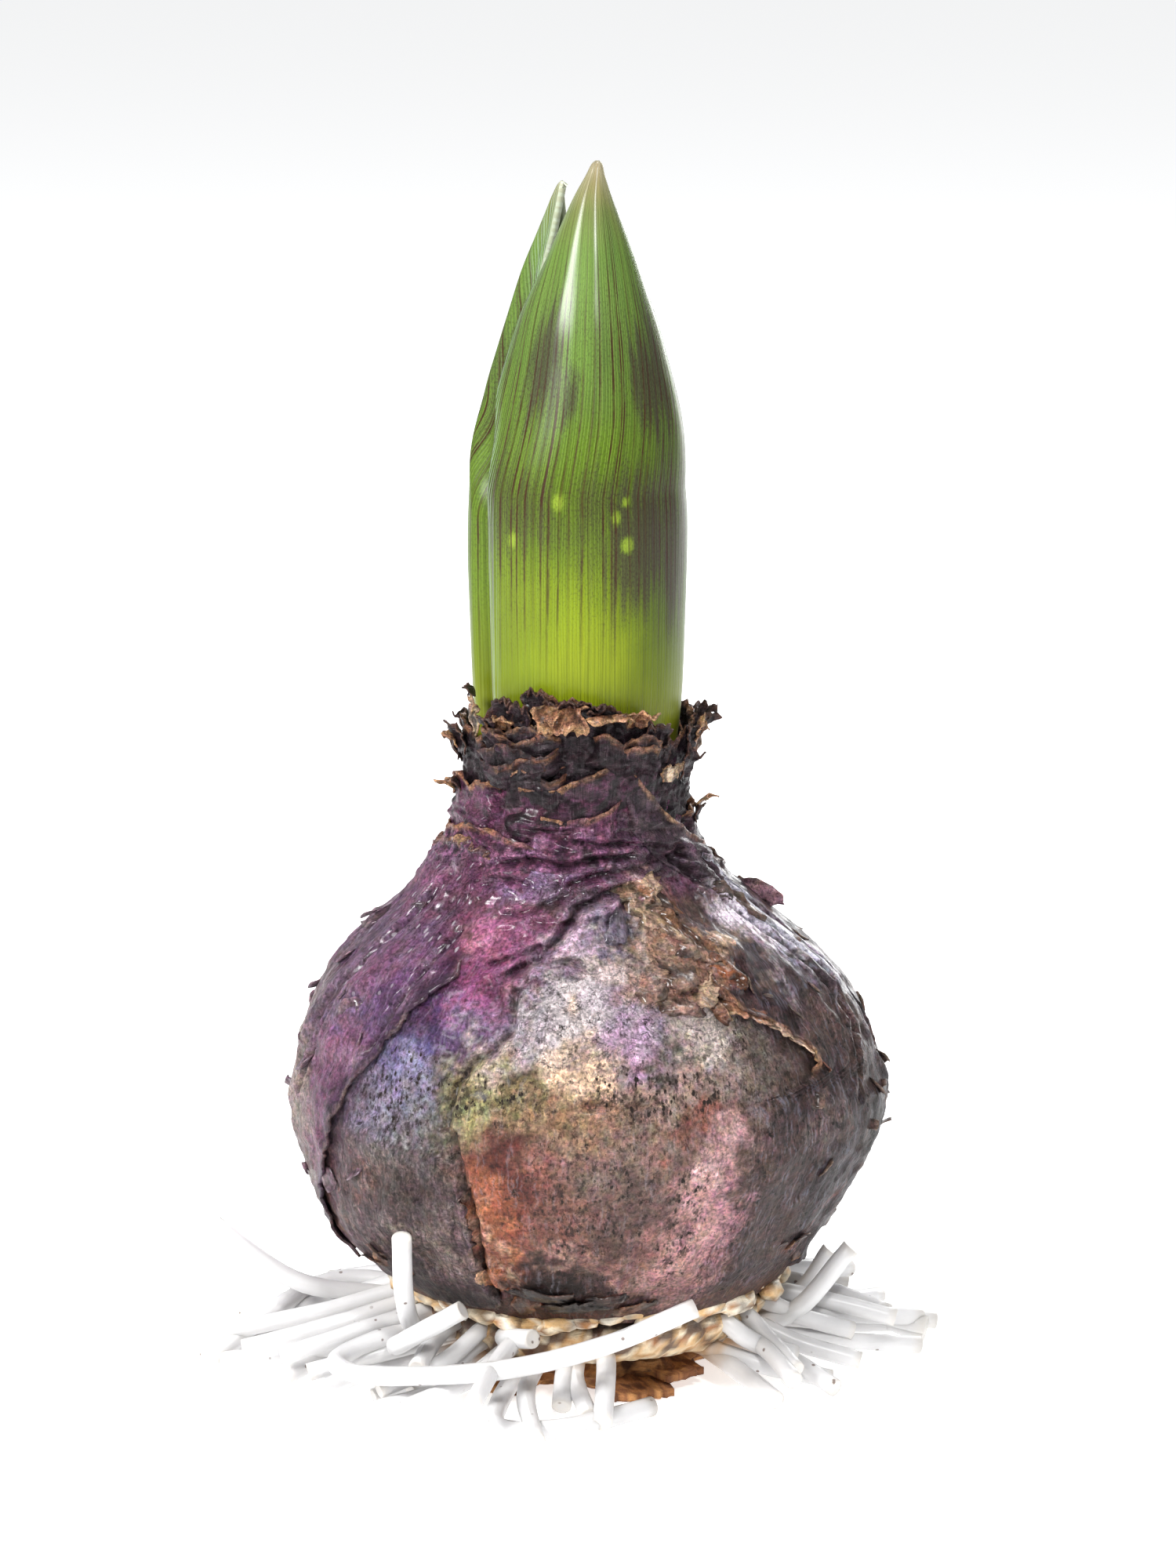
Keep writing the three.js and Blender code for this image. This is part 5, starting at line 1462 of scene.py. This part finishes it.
# each flap: azimuth, foot, width, length, lean, colours, stand-off, curl, twist and droop
FLAPS = [
    (-7, 68.6, 4.0, 2.7, 1.9, TAN, 1.0, 0.5, 0.1, 1.9), (-9, 67.6, 3.2, 2.2, 0.9, BURNT, 0.6, 0.5, 0.3, 0),
    (-1, 67.4, 2.6, 2.3, 1.0, BURNT, 0.7, 0.4, -0.3, 0), (-15, 68.4, 2.4, 2.0, 1.4, TAN, 0.9, 0.4, 0.5, 1.5),
    (16, 67.3, 4.4, 2.4, 1.3, TAN, 0.7, 0.5, -0.2, 0.9), (29, 66.6, 2.8, 2.0, 1.2, TAN, 0.8, 0.4, 0.3, 0.2),
    (-36, 66.2, 2.2, 2.2, 1.1, TAN, 0.8, 0.4, 0.4, 0.3), (-46, 66, 2.6, 1.6, 0.8, BURNT, 0.7, 0.4, 0.3, 0.1),
    (-20, 68, 2.4, 2.8, 0.5, BURNT, 0.4, 0.5, 0.3, 0), (-27, 66.6, 1.8, 2.6, 0.8, BURNT, 0.5, 0.4, -0.4, 0),
    (-39, 67, 2.6, 2.6, 0.4, BURNT, 0.3, 0.4, 0.2, 0), (2, 67.4, 3.4, 2.2, 0.8, BURNT, 0.4, 0.5, 0.2, 0),
    (12, 66.8, 3, 2, 0.7, BURNT, 0.4, 0.4, -0.3, 0), (40, 63.6, 2.6, 3.4, 0.6, BURNT, 0.4, 0.5, 0.2, 0),
    (47, 62.6, 1.8, 2.8, 0.9, BURNT, 0.4, 0.4, -0.2, 0), (-62, 65, 1.5, 4.4, 0.4, PALE, 0.2, 0.2, 0.1, 0),
    (-63, 68.8, 1.6, 1.4, 0.9, BURNT, 0.5, 0.5, 0.7, 0), (-84, 63, 2.2, 3, 1.5, TAN, 0.8, 0.6, 0.6, 0.5),
    (-92, 61.6, 2.4, 3.4, 1.2, BURNT, 0.8, 0.5, 0.3, 0), (-76, 62.8, 2.6, 3.2, 0.6, BURNT, 0.7, 0.6, -0.3, 0),
    (-88, 58.4, 2.2, 2.2, 1.6, TAN, 0.8, 0.6, 0.8, 0.4), (-80, 58.8, 1.8, 1.6, 1.0, BURNT, 0.8, 0.4, 0.4, 0),
    (78, 62, 2.4, 4.4, 0.8, TAN, 0.7, 0.6, 0.2, 0), (86, 63.4, 2.2, 3.2, 2.1, BURNT, 0.7, 0.5, 0.9, 0),
    (94, 63.6, 1.6, 4.0, 2.0, BURNT, 0.7, 0.4, -0.8, 0), (70, 62.8, 1.8, 3.4, 0.5, BURNT, 0.6, 0.5, 0.4, 0),
    (88, 56.4, 2.4, 2.0, 1.5, TAN, 0.8, 0.7, 0.6, 0.3), (80, 55.8, 2, 1.6, 0.8, BURNT, 0.8, 0.4, 0.2, 0),
    (64, 60.6, 2.2, 3.2, 0.5, BURNT, 0.9, 0.5, 0.4, 0), (51, 60.8, 3.0, 2.2, 0.3, PALE, 0.95, 0.1, 0, 0),
    (-17, 65, 2.2, 2.2, 0.3, PALE, 0.75, 0.1, 0, 0), (106, 64, 2.6, 2.8, 0.9, BURNT, 0.6, 0.5, 0.4, 0),
    (120, 63.6, 3.2, 3, 0.7, BURNT, 0.5, 0.5, -0.3, 0), (137, 62.8, 2.6, 2.4, 1.2, TAN, 0.7, 0.5, 0.3, 0.6),
    (150, 64, 3.4, 3, 0.5, BURNT, 0.5, 0.5, 0.2, 0), (168, 63.6, 2.4, 2.6, 1.1, TAN, 0.6, 0.5, 0.4, 0.5),
    (186, 63.8, 3.8, 3, 0.8, BURNT, 0.5, 0.5, -0.2, 0), (205, 62.8, 2.6, 2.8, 1.0, BURNT, 0.6, 0.5, 0.5, 0),
    (222, 63.6, 3, 3, 0.7, TAN, 0.6, 0.5, 0.2, 0.2), (247, 63.6, 2.6, 2.6, 0.5, BURNT, 0.5, 0.5, 0.3, 0),
    (258, 61, 2.2, 3, 0.9, BURNT, 0.7, 0.5, 0.4, 0),
]
for i, (azimuth, foot, wide, long, lean, colours, out, curl, twist, droop) in enumerate(FLAPS):
    lean *= 0.6 if abs(azimuth) > 60 else 1
    flap(neck_bm, azimuth, foot, wide, long, lean, colours, 3.7 * i, out, curl, twist, droop)

KNOT = [(61.6, 63.2, 1.5), (62.8, 64.6, 1.7), (64.2, 65.8, 1.5), (65.2, 66.6, 1.3)]
for i, (low, high, far) in enumerate(KNOT):
    edge = [(a, high + 0.5 * math.sin(0.2 * a + 2 * i)) for a in range(-55, -3, 7)]
    strip(neck_bm, edge, high - low + 0.8, far - 0.2, DARKS, "4c3a3c", 31 + i, 0.95, 0.5, 0.45, 16)
DRY_TOPS = skin_finish("dried skin tops", speck="1c1416", fibre=0.45, sheen="b8a9ae", shine=0.2, coat=0.12)
piece("torn_neck", neck_bm, DRY_TOPS, replaces=("neck_collar",), thick=0.16)

# %% [markdown]
# ## Roots
# The roots have been cut short and lie in a low skirt. Most follow the measured rule: out of the plate in three
# tiers, over a hump and down, with seeded bends. Thirteen that stray are placed one by one. A root is a grid rolled
# into a tube along its route, with its first and last rings drawn in to close the ends. Real roots are not even, so
# each swells and thins a little, and its cut end is a flat face with a tan rim.

# %% The roots' routes
REACH = through([
    [-180, 33], [-120, 35], [-88, 39], [-55, 36], [-41, 30], [-27, 37], [-18, 34], [-8, 24], [8, 25], [20, 20],
    [36, 22], [48, 27], [66, 30], [84, 36], [110, 36], [180, 33],
])
ROOT_COUNT = 80
SHORTEST = 23
STRAYS = [
    [
        (-10, -7, 4.6), (-19, -13, 6), (-24.6, -18.2, 5), (-21, -22, 4.6), (-9, -25, 6), (1.4, -24.8, 8.4),
        (10.4, -22.6, 11.6),
    ],
    [(-11, -9, 5.4), (-16.6, -14.6, 7), (-17.9, -19, 11.4), (-18, -23.6, 18.9)],
    [(-12, -6.4, 5.2), (-18, -13.4, 5.4), (-18.2, -19.6, 7.2), (-12.2, -21.6, 11.1)],
    [(-11, 0, 5.4), (-21, 0.5, 6.2), (-29.6, -1.2, 8.2), (-37.6, -2, 14.2)],
    [(-11, 3, 4.4), (-26, 6.4, 6), (-38.5, -6, 1.1)],
    [(11, -3, 4.4), (20, -4.8, 5.6), (26.4, -4, 12.4)],
    [(11, 2, 4.6), (20.6, 1, 5.8), (24.6, 1.4, 10.6)],
    [(11, 5, 4), (25, 7.2, 3), (34.4, 4, 1.1)],
    [(11, -8, 3.8), (16, -15, 2), (18.4, -19, 1.1)],
    [(-5, -10, 4.4), (-8.6, -20, 1.4), (-8.4, -27.6, 1.05), (-2, -27.4, 1.05), (6.2, -20.6, 1.05)],
    [(-6.4, -9.8, 5.2), (-8.2, -17.2, 7), (-5.4, -20.4, 7.8)],
    [(-1.6, -10.5, 4.4), (-2.2, -17.5, 4), (-2.6, -21.6, 1.3)],
    [(1.4, -11, 5), (1.8, -19, 4.6), (1.4, -26.6, 1.2)],
]


def ruled_roots():
    """The routes of the roots in three tiers, by the measured model's rule."""
    chance = draws(20417)
    for i in range(ROOT_COUNT):
        azimuth = (360 / ROOT_COUNT) * (i + 0.7 * next(chance)) - 180
        tier = i % 3
        bend = 30 * (next(chance) - 0.5)
        reach = REACH(azimuth) * (0.88 + 0.14 * next(chance)) - 1.2 * tier
        lift = next(chance)
        start = 4 + 1.6 * tier
        end = 1.05 + tier * (0.8 + 1.2 * lift)
        if reach >= SHORTEST:
            yield [
                at(0, azimuth, 11.5, start),
                at(0, azimuth, 17.5, start + 0.25 * tier - 0.4),
                at(0, azimuth + 0.35 * bend, mix(17.5, reach, 0.45), mix(start, end, 0.55) + 0.6 * lift),
                at(0, azimuth + bend, reach, end),
            ]


def along_route(route, t):
    """A Catmull-Rom curve through the route's points, t from 0 to 1."""
    points = [Vector(p) for p in route]
    points = [2 * points[0] - points[1], *points, 2 * points[-1] - points[-2]]
    place = min(len(route) - 1.0001, max(0, t * (len(route) - 1)))
    i, f = int(place), place - int(place)
    a, b, c, d = points[i : i + 4]
    return 0.5 * (2 * b + (c - a) * f + (2 * a - 5 * b + 4 * c - d) * f**2 + (3 * b - a - 3 * c + d) * f**3)


print(len(list(ruled_roots())) + len(STRAYS), "roots")

# %% [markdown]
# ### The root finish
# Live roots are white, wet and a little translucent, so light goes into them and softens their shade. They are tan
# where they leave the plate, and specks of soil cling to them.

# %% Finish: white root


def root_finish():
    root = Recipe("white root", Subsurface_Weight=0.3, Subsurface_Scale=0.0015, Coat_Weight=0.2, Coat_Roughness=0.2)
    root.feed("Subsurface Radius", (0.9, 0.9, 1.0))
    tint = root.attribute("tint")
    run = root.node("UVMap", uv_map="run")
    place = root.place_in_mm()
    lines = root.drawn(run, (2.2, 0.35, 0), 1.0, 3.0)
    cloud = root.grain(place, 0.35, 4.0)
    soil = root.dots(place, 0.55)
    specks = soil.step(0.13, 0.07) * (root.grain(place, 0.22, 1.0) - 0.42).step(0.0, 0.1)
    colour = root.times(tint, 0.86 + cloud * 0.24)
    colour = root.blend((lines - 0.5) * 0.5, colour, "c4c0bc")
    colour = root.blend(specks * 0.8, colour, "5a3c2a")
    height = lines * 0.8 + cloud * 0.6 - specks * 0.2
    return root.finish(colour, 0.3 + lines * 0.2, height, 0.00012, 0.6)


WHITE_ROOT = root_finish()
print("Made the finish:", WHITE_ROOT.name)

# %% [markdown]
# ### Rolling the roots
# A curve with a round bevel would also make a tube, but every ring would be the same. A grid rolled round the route
# lets each ring have its own width, and its first and last rings close the ends. `frames` carries one side direction
# along the route, so that the tube doesn't twist.

# %% The roots
LEFT_REACH, BACK_REACH, GROUND = -39.05, 33.3, 0.06  # no root may pass the measured model's box


def tube(bm, route, radius, seed, rings=22, sides=12):
    """A closed tube along a route, from the plate to the cut end."""
    steps = [0.0, 0.0] + [j / rings for j in range(rings + 1)] + [1.0, 1.0]
    shares = [0.0, 0.8, 1.0] + [1.0] * rings + [0.74, 0.0]
    side = Vector((0, 0, 1))
    frames = []
    for t in steps:
        centre = along_route(route, t)
        forward = (along_route(route, t + 0.01) - along_route(route, t - 0.01)).normalized()
        side = (side - forward * side.dot(forward)).normalized()
        frames.append((centre, side, forward.cross(side)))
    length = sum((a[0] - b[0]).length for a, b in zip(frames, frames[1:]))

    def place(u, v):
        j = round(v * (len(steps) - 1))
        centre, up, across = frames[j]
        swell = 1 + 0.1 * noise_at(steps[j] * length / 4, seed, 0)
        swell += 0.06 * noise_at(u * 3, steps[j] * length / 1.5, seed)
        wide = radius * shares[j] * min(1.0, swell)
        turn = 2 * math.pi * u
        point = centre + up * (wide * math.cos(turn)) + across * (wide * math.sin(turn))
        if j == len(steps) - 1:
            point -= 0.12 * (frames[-1][0] - frames[-4][0]).normalized()
        return Vector((max(LEFT_REACH, point.x), min(BACK_REACH, point.y), max(GROUND, point.z)))

    def tint(u, v):
        j = round(v * (len(steps) - 1))
        centre = frames[j][0]
        bare = ease(14.5, 19, centre.xy.length + 2 * noise.noise(centre))
        colour = srgb("d9d8d8").lerp(srgb("c79c68"), 0.9 * (1 - bare))
        if j >= len(steps) - 3:
            colour = colour.lerp(srgb("cfc6b8"), 0.5 if j < len(steps) - 1 else 0.2)
        return colour

    made = bent_grid(bm, sides, len(steps) - 1, place, tint=tint, run=lambda u, v: (6.28 * u * radius, v * length))
    bmesh.ops.remove_doubles(bm, verts=made, dist=2e-6)


root_bm = bmesh.new()
for i, route in enumerate(ruled_roots()):
    tube(root_bm, route, 0.93 + 0.13 * noise_at(i * 1.7, 0, 0), i)
for i, route in enumerate(STRAYS):
    tube(root_bm, route, 0.98, 200 + i, rings=8 * (len(route) - 1), sides=16)
bmesh.ops.recalc_face_normals(root_bm, faces=root_bm.faces[:])
piece("root_skirt", root_bm, WHITE_ROOT, replaces=("root_crown",))

# %% [markdown]
# ## The basal plate and last year's cork
# The plate is the real stem, a waxy tan disc from which skins and roots both grow. Its rim is knobbed where the
# roots come out. Below it hangs what is left of last year's plate, brown and layered like cork, on which the bulb
# rests. Both are profiles spun round and then roughened by noise. Two or three scraps of cork stand out in front.

# %% Tint and roughness of the plate


def plate_tint(azimuth, z):
    colour = blotches(azimuth, z, 16, ["c2935c", "ead6b2", "d3ab78", "efe0c4", "a0683a"], 1.9, 6)
    colour = colour.lerp(srgb("4c2c1a"), 0.9 * ease(-0.05, 0.2, noise.noise(at(0, azimuth, 16, z) / 1.3)))
    # towards its top, under the bulb's rim, the plate is darkened nearly to black: painted shade
    return colour.lerp(srgb("2a1d17"), 0.9 * ease(7.2, 8.3, z + 0.8 * noise.noise(at(0, azimuth, 16, z) / 1.1)))


def plate_place(j, azimuth, radius, z):
    if radius == 0:
        return at(0, azimuth, 0, z)
    spot = at(0, azimuth, radius, z)
    knob = 0.7 * abs(noise.noise(spot / 1.9)) + 0.7 * noise.noise(spot / 1.2) + 0.3 * noise.noise(spot / 0.6)
    return at(0, azimuth, radius + knob * ease(12.4, 15, radius), z + 0.1 * noise.noise(spot))


print("The plate's rim is roughened by up to a millimetre.")

# %% [markdown]
# ### A finish for wax and cork
# Both are the same tissue, alive and dead, in thin level layers with pits between. So they share a recipe, and only
# the living plate is glossy and shows its layers less.

# %% Finish: waxy plate and layered cork


def cork_finish(name, depth, gloss):
    cork = Recipe(name, Coat_Weight=gloss, Coat_Roughness=0.3)
    tint = cork.attribute("tint")
    place = cork.place_in_mm()
    layers = cork.drawn(place, (0.35, 0.35, 2.6), 1.0, 4.0, 0.6)
    pits = cork.grain(place, 1.6, 5.0, 0.65)
    share = 0.85 - 1.6 * gloss
    colour = cork.times(tint, (1 - 0.5 * share) + layers * share)
    colour = cork.times(colour, 0.65 + pits * 0.75)
    return cork.finish(colour, 0.75 - gloss * 0.5 + pits * 0.15, layers * 0.8 + pits, depth, 0.9)


print("Living tissue is glossy and dead cork is dull.")

# %% The plate
plate_bm = bmesh.new()
profile = [
    [0, 3], [5, 3], [10, 3], [12.4, 3], [14, 3.5], [15.6, 4], [16.7, 4.8], [17.4, 5.4], [17.8, 6.2], [18.1, 6.9],
    [18.1, 7.5], [17.8, 8.1], [17.4, 8.5], [14, 8.6], [8, 8.6], [0, 8.6],
]
turned(plate_bm, profile, 220, plate_place, plate_tint)
print(len(plate_bm.faces), "faces in the plate")

# %% [markdown]
# ### The knobs
# New roots start as creamy knobs all round the rim, just under the skin. A row of small round balls, each squeezed,
# tilted and dented by noise, is enough for them, because only their outer halves show.

# %% The waxy knobs at the plate's rim, from which the roots grow
KNOBS = 90
WAX = ["f0e2c6", "d9b078", "f4ebd8", "a9713a"]
tint_layer = plate_bm.verts.layers.float_color["tint"]
chance = draws(5501)
for i in range(KNOBS):
    azimuth, size = 360 * (i + 0.9 * next(chance)) / KNOBS, 0.75 + 0.75 * next(chance)
    centre = on_body(azimuth, 9 + 0.2 * next(chance), 0.25 * next(chance) - 0.25)
    centre.z = 8.6 + 1.8 * next(chance)
    turn = Matrix.Rotation(math.radians(azimuth), 4, "Z") @ Matrix.Rotation(0.9 * next(chance) - 0.45, 4, "Y")
    stretch = Matrix.Diagonal((1.55, 0.75, 0.8, 1.0))
    knob = bmesh.ops.create_icosphere(plate_bm, subdivisions=2, radius=size, matrix=turn @ stretch)["verts"]
    for vert in knob:
        dent = 1 + 0.35 * noise.noise(vert.co / 0.8 + Vector((i, 0, 0)))
        spot = centre + vert.co * dent
        shade = blotches(math.degrees(math.atan2(spot.x, -spot.y)), spot.z, 19, WAX, 1.6, 12)
        soiled = 0.7 * ease(0.1, 0.35, noise.noise(spot / 0.9))
        vert[tint_layer] = (*shade.lerp(srgb("4a2c1a"), soiled), 1.0)
        vert.co = spot * MM
piece("basal_plate", plate_bm, cork_finish("waxy plate", 0.0004, 0.35), replaces=("root_crown",))

# %% [markdown]
# ### Last year's cork
# The dead plate has shrunk, split into layers and worn ragged, and soil has stained it. A spun profile gives the
# disc, sines and noise give its rag and layers, and three torn tongues are bridged from two grids each.

# %% The cork's form and tint
# each scrap: azimuth, width, reach, inner height, outer height and rise of its sides
CORK_SCRAPS = [(-34, 6, 16.5, 1.0, 0.05, 0.2), (20, 7, 16.6, 0.6, 0.1, 0.0), (39, 5.6, 15.4, 1.6, 1.1, 0.1)]


def cork_tint(azimuth, z):
    return blotches(azimuth, z, 12, ["6b4329", "a87245", "805233", "c08a55", "553522"], 2.0, 9)


def cork_place(j, azimuth, radius, z):
    if radius == 0:
        return at(0, azimuth, 0, z)
    spot = at(0, azimuth, radius, z)
    rag = 0.7 * math.sin(math.radians(9 * azimuth + 60 * z)) + 0.5 * math.sin(math.radians(14 * azimuth + 20))
    layer = 0.35 * math.sin(z * 7.5 + 0.4 * noise.noise(spot / 3)) + 0.45 * noise.noise(spot / 1.2)
    return at(0, azimuth, radius + (rag + layer) * ease(0, 0.3, z) * ease(6, 11, radius), z)


print("The cork carries", len(CORK_SCRAPS), "torn scraps.")

# %% The cork disc and its torn scraps
cork_bm = bmesh.new()
cork_bm.loops.layers.uv.new("run")
profile = [
    [0, 0], [5, 0], [10.6, 0], [11.5, 0.35], [12.1, 0.7], [12.4, 1.0], [12.6, 1.3], [12.7, 1.6], [12.7, 1.9],
    [12.4, 2.2], [12, 2.5], [11.6, 2.7], [6, 2.7], [0, 2.7],
]
turned(cork_bm, profile, 200, cork_place, cork_tint)


def cork_scrap(azimuth, width, reach, inner, outer, rise, level, seed):
    """A torn tongue of layered cork, at one of two levels, 0.4 mm thick."""

    def place(u, v):
        side = math.degrees((u - 0.5) * width * (1 - 0.3 * v * v) / 13)
        tear = 0.9 * noise_at(u * width / 0.9, seed, 0) * v
        z = mix(inner, outer, v) + rise * (2 * u - 1) ** 2 * v + 0.3 * noise_at(u * 5, v * 5, seed)
        return at(0, azimuth + side, mix(9, reach, v) + tear, max(0.03, z) + level)

    return bent_grid(cork_bm, 22, 18, place, tint=lambda u, v: cork_tint(azimuth + u * width * 4, inner + 3 * v + seed))


for i, scrap in enumerate(CORK_SCRAPS):
    lower = cork_scrap(*scrap, 0.0, 5 + i)
    upper = cork_scrap(*scrap, 0.75, 5 + i)
    rims = []
    for layer in (lower, upper):
        faces = {face for vert in layer for face in vert.link_faces}
        rims += [edge for face in faces for edge in face.edges if edge.is_boundary]
    bmesh.ops.bridge_loops(cork_bm, edges=list(dict.fromkeys(rims)))
bmesh.ops.recalc_face_normals(cork_bm, faces=cork_bm.faces[:])
piece("old_cork", cork_bm, cork_finish("layered cork", 0.0005, 0.0), replaces=("old_base",))

# %% [markdown]
# ## The flower spike
# The closed florets sit deep between the leaves, and only a sliver of them shows through the slit at the side. The
# measured piece already has their rounded rows, so it stays, and gets a finish: pale green florets that flush blue
# towards their tips, with a faint midrib grain.

# %% Finish: closed florets


def bud_finish():
    bud = Recipe("closed florets", Subsurface_Weight=0.1, Subsurface_Scale=0.001, Coat_Weight=0.1, Coat_Roughness=0.3)
    place = bud.place_in_mm()
    rows = bud.drawn(place, (0.9, 0.9, 0.16), 1.0, 3.0)
    flush = bud.grain(place, 0.3, 3.0).step(0.42, 0.62)
    fine = bud.grain(place, 2.4, 3.0)
    colour = bud.blend(flush * 0.75, "93a65c", "6a6f9c")
    colour = bud.times(colour, 0.6 + rows * 0.8)
    colour = bud.blend((fine - 0.45) * 0.8, colour, "c3cf9a")
    return bud.finish(colour, 0.4 + rows * 0.2, rows + fine * 0.4, 0.0003, 0.6)


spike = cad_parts["flower_spike"]
spike.data.materials.clear()
spike.data.materials.append(bud_finish())
print("The measured flower spike has its finish.")

# %% [markdown]
# ## Floor, light and camera
# The bulb was photographed on white with soft light all round. A pale floor that glows a little and a white sky give
# the same, and keep the shadow under the roots faint.

# %% The floor and the sky
floor_bm = bmesh.new()
bmesh.ops.create_grid(floor_bm, x_segments=4, y_segments=4, size=6.0)
floor_mesh = bpy.data.meshes.new("pale_floor")
floor_bm.to_mesh(floor_mesh)
floor_bm.free()
floor = bpy.data.objects.new("pale_floor", floor_mesh)
bpy.context.scene.collection.objects.link(floor)
pale = Recipe("pale floor", Base_Color=(0.9, 0.9, 0.9), Roughness=0.9, Specular_IOR_Level=0.0)
pale.feed("Emission Color", (1.0, 1.0, 1.0))
pale.feed("Emission Strength", 0.6)
floor_mesh.materials.append(pale.material)

world = bpy.data.worlds.new("white sky")
world.use_nodes = True
world.node_tree.nodes["Background"].inputs["Color"].default_value = (0.96, 0.98, 1.0, 1.0)
world.node_tree.nodes["Background"].inputs["Strength"].default_value = 0.32
bpy.context.scene.world = world
bpy.context.scene.view_settings.view_transform = "Standard"
bpy.context.scene.view_settings.look = "None"
print("Floor and sky are set.")

# %% [markdown]
# ### The soft panels
# Four area lights stand for the studio's soft boxes: a broad one high at the front left, a small one in front for the
# glints, a strip behind at the right for the bright rims, and one above.

# %% The soft panels


def panel(name, place, aim, width, height, power):
    """An area light at a place, turned to the aim, both in metres."""
    lamp = bpy.data.lights.new(name, "AREA")
    lamp.shape = "RECTANGLE"
    lamp.size, lamp.size_y, lamp.energy = width, height, power
    made = bpy.data.objects.new(name, lamp)
    bpy.context.scene.collection.objects.link(made)
    turn = (Vector(aim) - Vector(place)).to_track_quat("-Z", "Y")
    made.matrix_world = Matrix.Translation(place) @ turn.to_matrix().to_4x4()


panel("left panel", (-0.6, -0.48, 0.6), (0, 0, 0.07), 0.36, 0.2, 11.5)
panel("small front panel", (0.16, -0.72, 0.7), (0, 0, 0.06), 0.1, 0.1, 4.0)
panel("back right strip", (0.3, 0.66, 0.3), (0, 0, 0.06), 0.16, 0.6, 2.6)
panel("top panel", (0.1, 0.05, 0.9), (0, 0, 0.05), 0.3, 0.3, 4.0)
print("Four soft panels are lit.")

# %% [markdown]
# ### The camera
# The camera stands about half a metre off, 11 degrees above level, and looks at the middle of the bulb's height. The
# focal length was fitted in pixels of the photograph, and the sensor's width goes with its taller side.

# %% The camera
AIM = Vector((0, 0, 0.059))
DISTANCE, ELEVATION = 0.54, math.radians(11)
FOCAL_PIXELS, TALL_PIXELS, SENSOR = 6926.75, 2000.0, 36.0
camera = bpy.data.objects.new("camera", bpy.data.cameras.new("camera"))
bpy.context.scene.collection.objects.link(camera)
camera.location = AIM + DISTANCE * Vector((0, -math.cos(ELEVATION), math.sin(ELEVATION)))
camera.rotation_euler = (AIM - camera.location).to_track_quat("-Z", "Y").to_euler()
camera.data.sensor_width = SENSOR
camera.data.lens = FOCAL_PIXELS * SENSOR / TALL_PIXELS
camera.data.clip_start = 0.01
bpy.context.scene.camera = camera
print(f"Lens: {camera.data.lens:.1f} mm")
